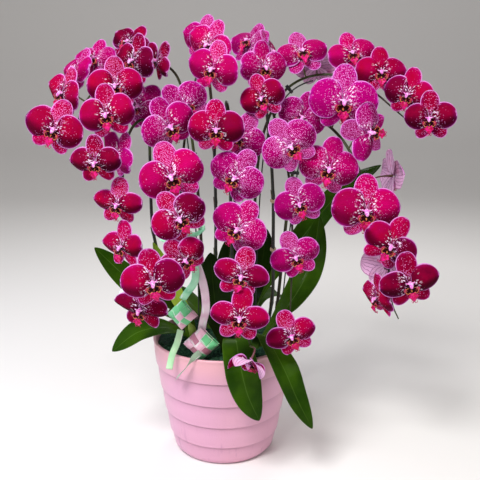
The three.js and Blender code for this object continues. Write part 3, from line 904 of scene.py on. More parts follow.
@dataclass(frozen=True)
class StudioFinish:
    """The plain pale floor."""

    tone: Colour = (0.82, 0.8, 0.78)

    def material(self) -> Material:
        """Builds the material.

        Returns:
            The material.
        """
        bench = NodeBench("studio floor", roughness=0.7, specular=0.2)
        bench.colour(self.tone)
        return bench.material


# Blooms


class Look(Enum):
    """A bloom's colours: how red it is, how flecked its petals and its sepals are, and how dark it is."""

    VIOLET = (-0.3, 0.34, 0.95, 0.0)
    PURPLE = (0.05, 0.62, 1.0, 0.0)
    MAGENTA = (0.3, 0.42, 0.95, 0.0)
    ROSE = (0.5, 0.16, 0.85, 0.1)
    CRIMSON = (0.85, 0.09, 0.7, 0.2)
    DARK = (1.1, 0.05, 0.5, 0.65)


@dataclass(frozen=True)
class Bloom:
    """One bloom: its look, its place and width in millimetres, its turns in degrees and its shape."""

    look: Look
    x: float
    y: float
    z: float
    width: float
    turn: float = 0.0
    tilt: float = 0.0
    roll: float = 0.0
    fullness: float = 1.0
    cup: float = 0.0

    @property
    def middle(self) -> Array:
        """The middle of the bloom's face."""
        return np.array([self.x, self.y, self.z])

    def axes(self) -> tuple[Array, Array, Array]:
        """Works out which way the bloom faces.

        Returns:
            Its right, up and outward directions.
        """
        yaw, pitch, spin = (math.radians(a) for a in (self.turn, self.tilt, self.roll))
        out = np.array([math.sin(yaw) * math.cos(pitch), -math.cos(yaw) * math.cos(pitch), math.sin(pitch)])
        right = np.array([math.cos(yaw), math.sin(yaw), 0.0])
        up = np.cross(out, right)
        across = right * math.cos(spin) - up * math.sin(spin)
        along = up * math.cos(spin) + right * math.sin(spin)
        return across, along, out

    def put(self, local: Array) -> Array:
        """Puts points of the bloom in the model.

        Args:
            local: places right, up and outward, in shares of half the bloom's width.

        Returns:
            Their places in the model.
        """
        across, along, out = self.axes()
        offset = local[..., :1] * across + local[..., 1:2] * along + local[..., 2:3] * out
        return self.middle + self.width / 2 * offset


@dataclass(frozen=True)
class TepalForm:
    """The outline and the bend of one petal or sepal, in shares of half the bloom's width."""

    angle: float
    length: float
    upper: float
    lower: float
    base: float
    lift: float
    reach: float
    claw: float = 0.09
    widest: float = 0.54
    ridge: float = 0.06
    ripple: float = 0.012
    swell: float = 2.1
    shoulder: float = 0.62
    petal: bool = False

    ROWS = 19
    COLUMNS = 17
    # How much closer the rows lie towards the tip, and the columns towards the rim
    TIP_CROWDING = 1.7
    RIM_CROWDING = 0.98
    START = 0.045
    LEAST_WIDTH = 0.012
    # How much shorter and how much deeper a closing bloom makes it
    SHORTENING = 0.45
    DEEPENING = 0.8
    # Millimetres: its thickness, and the distance to the rim where that is full
    THICKNESS = 0.5
    THINNED = 2.5
    # Half the breadth of a petal, against which the sepals' veins are spaced
    PETAL_BREADTH = 0.57

    def mirrored(self) -> "TepalForm":
        """Returns the same petal or sepal on the bloom's other side."""
        return replace(self, angle=-self.angle)

    def outline(self, along: Array) -> Array:
        """Works out how wide the petal or sepal is.

        Args:
            along: shares of its length.

        Returns:
            The share of the full width at each of them.
        """
        outer = np.sqrt(np.clip(1 - ((along - self.widest) / (1 - self.widest)) ** 2, 0, 1))
        inner = (1 - np.clip((self.widest - along) / self.widest, 0, 1) ** self.swell) ** self.shoulder
        return np.where(along > self.widest, outer, np.maximum(inner, self.claw))

    def _bend(self, u: Array, v: Array, share: Array, rng: Draws) -> Array:
        """Works out how far the sheet bends forward, with small chance bends and ripples.

        Args:
            u: the shares across, from -1 to 1.
            v: the shares along.
            share: the share of the full width at each point.
            rng: the bloom's own random numbers.

        Returns:
            The depth at each point.
        """
        bow = 4 * self.lift - self.base - self.reach
        depth = self.base * (1 - v) ** 2 + bow * v * (1 - v) + self.reach * v**2
        ridge = self.ridge * rng.uniform(0.6, 1.4)
        depth = depth - ridge * (0.45 * np.abs(u) + 0.55 * u**2) * share
        depth = depth + rng.uniform(-0.06, 0.04) * v**2 + rng.uniform(-0.05, 0.05) * u * share * v
        phase, pitch = rng.uniform(0, 6.28), rng.uniform(5, 9)
        depth = depth + self.ripple * np.sin(pitch * v + 3 * u + phase) * np.abs(u) ** 2.4
        return depth + self.ripple * np.sin(7 * u + phase) * smoothstep(v, 0.7, 1.0)

    def local(self, fullness: float, cup: float,
              rng: Draws) -> tuple[Array, Array, Array]:
        """Builds the sheet.

        Args:
            fullness: the share of the petal's full width.
            cup: how far the bloom closes forward.
            rng: the bloom's own random numbers.

        Returns:
            The grid of points, its shares across and along, and the distance to the rim.
        """
        along = 1 - (1 - np.linspace(0, 1, self.ROWS)) ** self.TIP_CROWDING
        turn = math.pi / 2 * self.RIM_CROWDING
        across = np.sin(np.linspace(-1, 1, self.COLUMNS) * turn) / math.sin(turn)
        v, u = np.meshgrid(along, across, indexing="ij")
        share = self.outline(v)
        width = np.where(u < 0, self.upper, self.lower) * share * (fullness if self.petal else 1.0)
        width = np.maximum(width, self.LEAST_WIDTH)
        twist = math.radians(self.angle + rng.uniform(-3.5, 3.5))
        forward = np.array([math.sin(twist), math.cos(twist)])
        sideways = np.array([forward[1], -forward[0]])
        radius = self.START + (self.length - self.START) * v
        shrink = 1 - self.SHORTENING * abs(cup) * radius
        hand = -1 if self.petal and self.angle < 0 else 1
        flat = (radius * shrink)[..., None] * forward + (hand * u * width)[..., None] * sideways
        depth = self._bend(u, v, share, rng) + cup * (radius**2) * self.DEEPENING
        rim = np.minimum((1 - np.abs(u)) * width, (1 - v) * self.length * 0.8)
        return np.concatenate([flat, depth[..., None]], axis=-1), np.stack([u, v], axis=-1), rim

    def _fields(self, look: Look, flat: Array, shares: Array, edge: Array,
                rng: Draws) -> BladeFields:
        """Works out what the petals' finish reads at each point.

        Args:
            look: the bloom's colours.
            flat: the points on the bloom's own plane, in millimetres.
            shares: their shares across and along.
            edge: their distances to the rim, in millimetres.
            rng: the bloom's own random numbers.

        Returns:
            For each named field, its grid on the front and on the back.
        """
        redness, petal_flecks, sepal_flecks, darkness = look.value
        seed = np.full(edge.shape, rng.uniform(0, 400))
        cosine, sine = math.cos(math.radians(self.angle)), math.sin(math.radians(self.angle))
        x, y = flat[..., 0], flat[..., 1]
        place = np.stack([x * cosine - y * sine + seed, x * sine + y * cosine, seed], axis=-1)
        breadth = 1.0 if self.petal else self.upper / self.PETAL_BREADTH
        form = np.stack([edge, shares[..., 1], shares[..., 0] * breadth], axis=-1)
        flushed = redness + rng.uniform(-0.08, 0.08)
        flecks = petal_flecks if self.petal else sepal_flecks
        # The lower half that painted shade darkens, partly with its own deeper colour
        low = smoothstep(shares[..., 0], -0.1, 0.55) * (1.0 if self.petal else 0.0)
        gloom = max(darkness, rng.uniform(0, 1) ** 2) if self.petal else darkness * 0.6
        fold = np.stack([low, np.full_like(low, gloom), np.zeros_like(low)], axis=-1)
        front, back = (np.broadcast_to([flushed, flecks, side], form.shape) for side in (0.0, 1.0))
        return {"place": (place, place), "marks": (front, back), "form": (form, form), "fold": (fold, fold)}

    def add(self, maker: MeshMaker, bloom: Bloom, rng: Draws) -> None:
        """Adds the petal or sepal to the mesh as a thin closed blade.

        Args:
            maker: the mesh that gathers the spray's petals.
            bloom: the bloom that it belongs to.
            rng: the bloom's own random numbers.
        """
        local, shares, rim = self.local(bloom.fullness, bloom.cup, rng)
        flat = local[..., :2] * (bloom.width / 2)
        edge = rim * (bloom.width / 2)
        middle = bloom.put(local)
        normal = unit(np.cross(np.gradient(middle, axis=1), np.gradient(middle, axis=0)))
        if np.mean(normal @ bloom.axes()[2]) < 0:
            flat, edge, middle, normal, shares = (
                each[:, ::-1] for each in (flat, edge, middle, -normal, shares))
        full = 0.35 + 0.65 * smoothstep(edge, 0.0, self.THINNED)
        thick = normal * self.THICKNESS / 2 * full[..., None]
        fields = self._fields(bloom.look, flat, shares, edge, rng)
        maker.add_blade(middle + thick, middle - thick, values=fields)


DORSAL = TepalForm(angle=0, length=1.08, upper=0.36, lower=0.36, base=-0.03, lift=-0.09, reach=-0.17,
                   claw=0.2, widest=0.56, ridge=0.09)
PETAL = TepalForm(angle=81, length=1.0, upper=0.59, lower=0.55, base=0.03, lift=0.1, reach=-0.02,
                  claw=0.12, widest=0.47, ridge=0.25, ripple=0.03, swell=2.7, shoulder=0.52, petal=True)
LATERAL = TepalForm(angle=142, length=0.86, upper=0.29, lower=0.29, base=-0.04, lift=-0.1, reach=-0.17,
                    claw=0.2, widest=0.5, ridge=0.08)
TEPALS = (DORSAL, LATERAL, LATERAL.mirrored(), PETAL, PETAL.mirrored())


class LipPart(Enum):
    """The finish numbers of the parts of a lip."""

    LOBE = 0
    THROAT = 1
    CREST = 2
    COLUMN = 3
    SIDE = 4


@dataclass(frozen=True)
class Lip:
    """One bloom's lip and column, in shares of half the bloom's width, on the mesh of its spray's lips."""

    maker: MeshMaker
    bloom: Bloom
    lobe_tip: float = -0.56
    lobe_width: float = 0.17
    throat_middle: float = -0.18
    throat_width: float = 0.19
    throat_height: float = 0.14

    # Shares of the middle lobe's length, and of its width there
    LOBE_STEPS = (0, 0.14, 0.3, 0.42, 0.52, 0.64, 0.8, 1.0)
    LOBE_WIDTHS = (0.5, 0.55, 0.9, 1.0, 0.62, 0.5, 0.4, 0.1)
    # The bowl's section, from its middle over its edge and back: shares of its size, and how far forward
    BOWL = ((0.01, 0.05), (0.5, 0.06), (0.82, 0.1), (1.0, 0.16), (1.05, 0.155), (0.9, 0.06), (0.5, 0.015),
            (0.01, 0.01))

    def add(self, rng: Draws) -> None:
        """Adds the lip and the column.

        Args:
            rng: the bloom's own random numbers.
        """
        lean = rng.uniform(-0.03, 0.03)
        column = [(0, 0.06, 0.0), (0, 0.06, 0.1), (lean * 0.3, 0.03, 0.17), (lean * 0.4, -0.04, 0.2)]
        self._tube(column, [0.05, 0.06, 0.075, 0.05], LipPart.COLUMN)
        cap = [(0, 0.0, 0.19), (0, -0.05, 0.215), (0, -0.085, 0.2)]
        self._tube(cap, [0.06, 0.052, 0.02], LipPart.COLUMN)
        self._throat()
        self._mid_lobe(lean)
        for hand in (-1, 1):
            self._wing(hand)
            self._side_lobe(hand)
            self._tendril(hand, lean, rng)

    def _tube(self, path: Sequence[Point], radii: Sequence[float], part: LipPart, sides: int = 8) -> None:
        """Adds a short round part.

        Args:
            path: the local places that it follows.
            radii: its radii, spread evenly along it.
            part: the part of the lip whose finish it takes.
            sides: how many sides it has.
        """
        route = Route(path, per_leg=4)
        t = np.linspace(0, 1, len(route.points))
        thick = np.interp(t, np.linspace(0, 1, len(radii)), radii) * self.bloom.width / 2
        self.maker.add_tube(self.bloom.put(route.points), thick, sides, part.value)

    def _blade(self, grid: Array, part: LipPart, thickness: float = 0.012) -> None:
        """Adds a small closed blade from a local grid of points."""
        normal = unit(np.cross(np.gradient(grid, axis=1), np.gradient(grid, axis=0))) * thickness
        self.maker.add_blade(self.bloom.put(grid + normal), self.bloom.put(grid - normal), part.value)

    def _throat(self) -> None:
        """Adds the dark bowl below the column, with the amber lines of its edge and its callus."""
        angles = circle(18)
        shares, depths = np.array(self.BOWL).T[..., None]
        x = self.throat_width * shares * np.cos(angles)
        y = self.throat_middle + self.throat_height * shares * np.sin(angles)
        bowl = np.stack([x, y, np.broadcast_to(depths, x.shape)], axis=-1)
        self.maker.add_grid(self.bloom.put(bowl), LipPart.THROAT.value, around=True)
        for hand in (-1, 1):
            edge = [(hand * 0.08, -0.07, 0.15), (hand * 0.17, -0.09, 0.18), (hand * 0.2, -0.19, 0.17),
                    (hand * 0.14, -0.27, 0.165), (hand * 0.08, -0.23, 0.17), (hand * 0.02, -0.32, 0.17)]
            self._tube(edge, [0.006, 0.01, 0.012, 0.015, 0.011, 0.014], LipPart.CREST, sides=6)
        callus = [(0, -0.17, 0.07), (0, -0.19, 0.12), (0, -0.22, 0.15)]
        self._tube(callus, [0.03, 0.026, 0.01], LipPart.CREST, sides=6)

    def _wing(self, hand: int) -> None:
        """Adds one of the two pale wings at the column's foot."""
        path = [(hand * 0.03, 0.055, 0.1), (hand * 0.1, 0.07, 0.12), (hand * 0.15, 0.1, 0.115)]
        self._tube(path, [0.03, 0.026, 0.008], LipPart.COLUMN, sides=6)

    def _mid_lobe(self, lean: float) -> None:
        """Adds the pointed middle lobe.

        Args:
            lean: how far its tip lies to one side.
        """
        v, u = np.meshgrid(np.linspace(0, 1, 13), np.linspace(-1, 1, 9), indexing="ij")
        share = np.interp(v, self.LOBE_STEPS, self.LOBE_WIDTHS)
        foot = self.throat_middle - 0.08
        x = u * self.lobe_width * share + lean * v
        y = foot + (self.lobe_tip - foot) * v + 0.04 * u**2 * (1 - v)
        z = 0.14 + 0.08 * np.sin(v * math.pi * 0.8) - 0.05 * v + (0.07 * (1 - v) + 0.02) * u**2 - 0.02 * v
        self._blade(np.stack([x, y, z], axis=-1), LipPart.LOBE)

    def _side_lobe(self, hand: int) -> None:
        """Adds one of the two upright side lobes that stand beside the throat.

        Args:
            hand: -1 or 1, for the side that it stands on.
        """
        v, u = np.meshgrid(np.linspace(0, 1, 8), np.linspace(-1, 1, 6), indexing="ij")
        width = 0.03 + 0.06 * np.sin(np.clip(v * 1.05, 0, 1) * math.pi) ** 0.6
        x = hand * (0.16 + 0.07 * np.sin(v * 1.7) - 0.03 * u)
        y = -0.22 + 0.15 * v + u * width * 0.7
        z = 0.08 + 0.14 * v + u * width * 0.4
        self._blade(np.stack([x, y, z], axis=-1), LipPart.SIDE)

    def _tendril(self, hand: int, lean: float, rng: Draws) -> None:
        """Adds one of the two thin curls at the lip's tip.

        Args:
            hand: -1 or 1, for the side that it curls to.
            lean: how far the lip's tip lies to one side.
            rng: the bloom's own random numbers.
        """
        tip = self.lobe_tip
        swing = rng.uniform(0.8, 1.2) * hand
        path = [(lean, tip + 0.03, 0.08), (lean + 0.03 * swing, tip - 0.04, 0.1),
                (lean + 0.08 * swing, tip - 0.03, 0.14), (lean + 0.1 * swing, tip + 0.05, 0.15)]
        self._tube(path, [0.016, 0.012, 0.009, 0.005], LipPart.LOBE, sides=5)


# Sprays


class Arch(Enum):
    """The way that a spike bends over: the axis that its wire lies round."""

    LEFT = (0.0, -1.0, 0.0)
    RIGHT = (0.0, 1.0, 0.0)
    FORWARD = (1.0, 0.0, 0.0)


@dataclass(frozen=True)
class Spray:
    """One flower spike with its wire, its clips and its blooms."""

    name: str
    arch: Arch
    foot: tuple[float, float]
    wire_end: float
    clips: tuple[float, ...]
    route: tuple[Point, ...]
    blooms: tuple[Bloom, ...]
    beige_clips: bool = False

    FOOT_HEIGHT = 140.0
    SPIKE_RADIUS = 2.9
    RACHIS_RADIUS = 2.0
    TIP_RADIUS = 0.9
    PEDICEL_RADIUS = 1.35
    PEDICEL_BEND = 20.0
    WIRE_RADIUS = 1.15
    WIRE_OFFSET = 7.5
    # The joints' shares of the spike's length, as the first one, the end and the step
    JOINTS = (0.12, 0.5, 0.1)
    JOINT_REACH = 3.2
    SHEATH_HEIGHT = 10.0
    # A clip's two rings, each how far from the spike's middle, its radius and its thickness, and their turns
    CLIP_RINGS = ((0.0, 3.9, 1.1), (WIRE_OFFSET, 2.3, 0.9))
    CLIP_LEVELS = (-1.6, 0.0, 1.6)

    @cached_property
    def spine(self) -> Route:
        """The spike's middle line."""
        x, y = self.foot
        foot = [(x, y, self.FOOT_HEIGHT), (x, y, MOSS_TOP - 15), (x, y, MOSS_TOP + 10)]
        return Route([*foot, *self.route])

    def make(self, finishes: "Finishes", seed: int) -> None:
        """Makes the spray's petals, lips, stems, wire and clips.

        Args:
            finishes: the materials of the whole part.
            seed: the start of the spray's random numbers.
        """
        petals = MeshMaker(fields=("place", "marks", "form", "fold"))
        lips = MeshMaker()
        stems = MeshMaker()
        self._add_spike(stems)
        for number, bloom in enumerate(self.blooms):
            rng = np.random.default_rng(seed * 100 + number)
            for form in TEPALS:
                form.add(petals, bloom, rng)
            Lip(lips, bloom).add(rng)
            self._add_pedicel(stems, bloom)
        node = f"spray_{self.name}"
        petals.make(f"petals_{self.name}", [finishes.petal], "petal", node)
        lips.make(f"lips_{self.name}", finishes.lip, "lip", node)
        stems.make(f"stems_{self.name}", [finishes.stem, finishes.pedicel], "stem", node)
        self._make_wire(finishes)
        for number, share in enumerate(self.clips):
            self._make_clip(share, number + 1, finishes)

    def _add_spike(self, maker: MeshMaker) -> None:
        """Adds the spike, thinner towards its end and swollen at its joints.

        Args:
            maker: the mesh that gathers the spray's stems.
        """
        shares = np.linspace(0, 1, 110)
        radii = [self.SPIKE_RADIUS, self.RACHIS_RADIUS + 0.4, self.RACHIS_RADIUS * 0.8, self.TIP_RADIUS]
        taper = np.interp(shares, [0, 0.5, 0.9, 1], radii)
        joints = np.arange(*self.JOINTS)
        gaps = [(shares - joint) * self.spine.length for joint in joints]
        swell = sum(np.exp(-((gap / self.JOINT_REACH) ** 2)) for gap in gaps)
        maker.add_tube(self.spine.at(shares), taper * (1 + 0.3 * swell), 12, 0)
        for joint in joints:
            self._add_sheath(maker, joint)

    def _add_sheath(self, maker: MeshMaker, joint: float) -> None:
        """Adds the dry pointed sheath that wraps the spike above a joint.

        Args:
            maker: the mesh that gathers the spray's stems.
            joint: the joint's share of the spike's length.
        """
        direction = self.spine.tangent(joint)
        side = unit(np.cross(direction, [0.3, 0.9, 0.2]))
        other = np.cross(direction, side)
        rows = []
        for share in np.linspace(0, 1, 7):
            middle = self.spine.at(np.array([joint + self.SHEATH_HEIGHT * share / self.spine.length]))[0]
            radius = self.SPIKE_RADIUS * 1.12 + 0.5 * share
            angles = np.linspace(-1.5, 1.5, 9)[:, None] * (1 - 0.8 * share)
            rows.append(middle + radius * (np.cos(angles) * side + np.sin(angles) * other))
        outer = np.array(rows)
        inner = outer - 0.25 * unit(outer - outer.mean(axis=1, keepdims=True))
        maker.add_grid(np.concatenate([outer, inner[:, ::-1]], axis=1), 1, around=True)

    def _add_pedicel(self, maker: MeshMaker, bloom: Bloom) -> None:
        """Adds the short stalk that carries a bloom.

        Args:
            maker: the mesh that gathers the spray's stems.
            bloom: the bloom.
        """
        out = bloom.axes()[2]
        elbow = bloom.middle - self.PEDICEL_BEND * out
        root = self.spine.nearest(elbow, 0.4)
        path = Route([root, elbow, bloom.middle - 0.02 * bloom.width * out])
        shares = np.linspace(0, 1, 22)
        radii = [self.PEDICEL_RADIUS, self.PEDICEL_RADIUS * 0.85, 1.5, 2.3]
        maker.add_tube(path.at(shares), np.interp(shares, [0, 0.5, 0.85, 1], radii), 9, 1)

    def _make_wire(self, finishes: "Finishes") -> None:
        """Makes the coated support wire beside the spike.

        Args:
            finishes: the materials of the whole part.
        """
        maker = MeshMaker()
        shares = np.linspace(0, self.wire_end, 90)
        away = np.array([unit(np.cross(self.arch.value, self.spine.tangent(share))) for share in shares])
        path = self.spine.at(shares) + away * self.WIRE_OFFSET
        maker.add_tube(path, np.full(len(path), self.WIRE_RADIUS), 10)
        maker.make(f"support_wire_{self.name}", [finishes.wire], "wire", f"wire_{self.name}")

    def _make_clip(self, share: float, number: int, finishes: "Finishes") -> None:
        """Makes one clip: rings round the spike and the wire, and two small grips.

        Args:
            share: its place as a share of the spike's length.
            number: its number on the spike, from 1.
            finishes: the materials of the whole part.
        """
        maker = MeshMaker()
        middle = self.spine.at(np.array([share]))[0]
        direction = self.spine.tangent(share)
        away = unit(np.cross(self.arch.value, direction))
        side = np.cross(direction, away)
        turns = circle(25, closed=True)[:, None]
        for offset, radius, band in self.CLIP_RINGS:
            ring = middle + (offset + radius * np.cos(turns)) * away + radius * np.sin(turns) * side
            for level in self.CLIP_LEVELS:
                maker.add_tube(ring + level * direction, np.full(len(turns), band), 8)
        for hand in (-1, 1):
            start = middle + 4.6 * away
            elbow = start + 1.5 * away + hand * 2.6 * side
            grip = Route([start, elbow, start + 0.5 * away + hand * 4.2 * side])
            shares = np.linspace(0, 1, 8)
            maker.add_tube(grip.at(shares), np.interp(shares, [0, 1], [1.2, 0.7]), 8, flatten=2.0)
        slot = "clip_beige" if self.beige_clips else "clip_black"
        name = f"clip_{self.name}_{number}"
        maker.make(f"spike_{name}", [finishes.clips[slot]], slot, name)


VIOLET, PURPLE, MAGENTA, ROSE, CRIMSON, DARK = Look

SPRAYS = (
    Spray(
        "upper_left", Arch.LEFT, (-34, 24), 0.62, (0.5,),
        ((-35, 25, 300), (-42, 30, 440), (-56, 36, 550), (-74, 36, 610), (-104, 30, 630), (-140, 20, 624),
         (-174, 0, 604), (-202, -24, 572), (-216, -46, 534)),
        (Bloom(DARK, -101, 22, 629, 66, -52, 0, 38, 0.8),
         Bloom(DARK, -148, 60, 656, 70, -20, 30, 25),
         Bloom(DARK, -133, -5, 628, 80, -40, 5, 8),
         Bloom(MAGENTA, -196, 20, 631, 72, -20, 28, 0),
         Bloom(MAGENTA, -222, -2, 616, 74, -50, 25, -5),
         Bloom(CRIMSON, -234, -38, 582, 78, -42, 5, 15),
         Bloom(CRIMSON, -240, -80, 534, 86, 0, 0, 22),
         Bloom(CRIMSON, -154, -52, 594, 82, 6, 5, -2),
         Bloom(CRIMSON, -161, -90, 556, 82, -5, 0, -10)),
    ),
    Spray(
        "lower_left", Arch.FORWARD, (-64, 17), 0.5, (0.42,),
        ((-84, 19, 256), (-112, 22, 350), (-116, 24, 440), (-116, 24, 505), (-120, 8, 540), (-134, -20, 534),
         (-146, -38, 500), (-148, -52, 440), (-142, -58, 380), (-130, -76, 325), (-122, -92, 292)),
        (Bloom(PURPLE, -131, 8, 562, 80, 0, 0, 50),
         Bloom(MAGENTA, -156, -62, 496, 76, -45, 0, 35, 0.9),
         Bloom(DARK, -177, -108, 490, 76, -8, -8, 0, 0.85),
         Bloom(CRIMSON, -151, -92, 427, 76, -12, -5, 5, 0.75),
         Bloom(CRIMSON, -146, -99, 365, 76, -32, 0, 0, 0.8),
         Bloom(DARK, -117, -134, 281, 84, -18, -12, 6, 0.62)),
    ),
    Spray(
        "centre_left", Arch.FORWARD, (-15, 17), 0.5, (0.4,),
        ((-14, 18, 260), (-12, 20, 380), (-14, 26, 500), (-20, 34, 590), (-26, 26, 626), (-33, 4, 622),
         (-42, -26, 588), (-50, -50, 545), (-56, -76, 495), (-58, -98, 445), (-58, -110, 395),
         (-60, -116, 360), (-72, -128, 338)),
        (Bloom(MAGENTA, -34, 15, 660, 74, -35, 5, 15),
         Bloom(ROSE, -20, -28, 651, 76, -28, 5, 24),
         Bloom(ROSE, -12, -75, 618, 78, -20, 0, 12),
         Bloom(PURPLE, -50, -76, 566, 78, 8, 0, -46),
         Bloom(MAGENTA, -71, -108, 541, 82, 24, -5, -25),
         Bloom(ROSE, -67, -134, 475, 94, 0, 0, -20),
         Bloom(CRIMSON, -55, -158, 421, 82, 5, -5, -35),
         Bloom(CRIMSON, -50, -150, 360, 72, 22, -5, -42),
         Bloom(CRIMSON, -92, -178, 336, 90, 4, -5, -10)),
    ),
    Spray(
        "centre", Arch.FORWARD, (14, 3), 0.45, (0.36,),
        ((14, 5, 300), (12, 12, 420), (8, 16, 520), (6, 4, 568), (9, -18, 560), (14, -30, 520),
         (16, -60, 475), (20, -95, 425), (25, -115, 365), (28, -130, 305), (34, -136, 258), (42, -140, 228)),
        (Bloom(CRIMSON, -6, -114, 537, 80),
         Bloom(PURPLE, 26, -56, 520, 80, 0, 5, 30),
         Bloom(PURPLE, 20, -112, 470, 84, -14, 0, 32),
         Bloom(MAGENTA, 23, -145, 403, 84, -12, 0, 32),
         Bloom(CRIMSON, 28, -164, 340, 80, 0, 0, 16, 0.76),
         Bloom(CRIMSON, 26, -178, 284, 84, 0, 5, 7, 0.7),
         Bloom(DARK, 41, -172, 216, 78, -34, -50, 0, 0.62, 0.6)),
    ),
    Spray(
        "centre_right", Arch.FORWARD, (72, 8), 0.5, (0.222, 0.312),
        ((80, 4, 260), (80, 2, 340), (79, 0, 420), (74, 8, 500), (66, 22, 570), (60, 26, 610),
         (61, 6, 618), (66, -16, 590), (76, -38, 555), (88, -58, 512), (98, -66, 470), (103, -74, 420),
         (104, -92, 360), (102, -108, 300), (100, -118, 260)),
        (Bloom(PURPLE, 40, 62, 657, 76, -40, 35, 0),
         Bloom(MAGENTA, 75, 40, 641, 70, 72, 12, 0),
         Bloom(MAGENTA, 63, -15, 619, 76, 24, 0, 0),
         Bloom(CRIMSON, 59, -65, 577, 70, -18, 0, -22),
         Bloom(PURPLE, 117, -52, 549, 74, 0, 0, 25),
         Bloom(PURPLE, 98, -113, 514, 84, 0, 0, -38),
         Bloom(PURPLE, 113, -102, 430, 76, -8, 0, -20),
         Bloom(MAGENTA, 107, -125, 357, 75, 0, 0, -22, 0.85),
         Bloom(CRIMSON, 101, -150, 247, 75, 0, 0, -24, 0.8)),
        beige_clips=True,
    ),
    Spray(
        "right", Arch.RIGHT, (86, 22), 0.5, (0.42,),
        ((94, 24, 290), (104, 24, 400), (114, 16, 480), (126, 4, 526), (148, -12, 540), (174, -36, 522),
         (196, -56, 488), (214, -70, 446), (232, -80, 396), (246, -84, 346), (252, -86, 300), (257, -88, 272),
         (266, -91, 252)),
        (Bloom(VIOLET, 174, -78, 573, 100, 0, 0, 5),
         Bloom(PURPLE, 208, -108, 534, 84, 28, 0, -84, 0.8),
         Bloom(MAGENTA, 153, -98, 480, 88, 0, 0, 14),
         Bloom(MAGENTA, 260, -30, 460, 76, 105, 0, 0),
         Bloom(ROSE, 207, -112, 421, 100, 0, 0, 2),
         Bloom(CRIMSON, 240, -126, 374, 86, 0, -4, 32, 0.85),
         Bloom(MAGENTA, 249, -60, 328, 76, 165, 0, 0),
         Bloom(DARK, 269, -140, 322, 88, 0, 0, -12, 0.8),
         Bloom(CRIMSON, 231, -95, 285, 74, -68, -15, 0)),
    ),
    Spray(
        "far_right", Arch.RIGHT, (45, 30), 0.744, (0.682,),
        ((47, 32, 300), (52, 34, 420), (60, 33, 500), (76, 30, 551), (97, 30, 584), (124, 30, 602),
         (160, 26, 609), (200, 16, 601), (235, 0, 580), (258, -14, 560), (281, -24, 541)),
        (Bloom(MAGENTA, 122, 17, 641, 80, 0, 35, -12, 0.9),
         Bloom(MAGENTA, 148, 55, 620, 72, 175, 20, 0),
         Bloom(ROSE, 196, 5, 639, 74, 0, 25, -10),
         Bloom(CRIMSON, 236, -20, 612, 78, 0, 15, 0),
         Bloom(CRIMSON, 272, -45, 581, 76, -28, 0, 10),
         Bloom(DARK, 299, -75, 549, 76, -22, 0, -5, 0.9)),
    ),
)


# Leaves


class LeafTone(Enum):
    """How a leaf is coloured, by finish number."""

    GROWN = 0
    YOUNG = 1
    # Painted shade: a darker copy of the grown leaf, for leaves in the plant's shaded middle
    OLD = 2


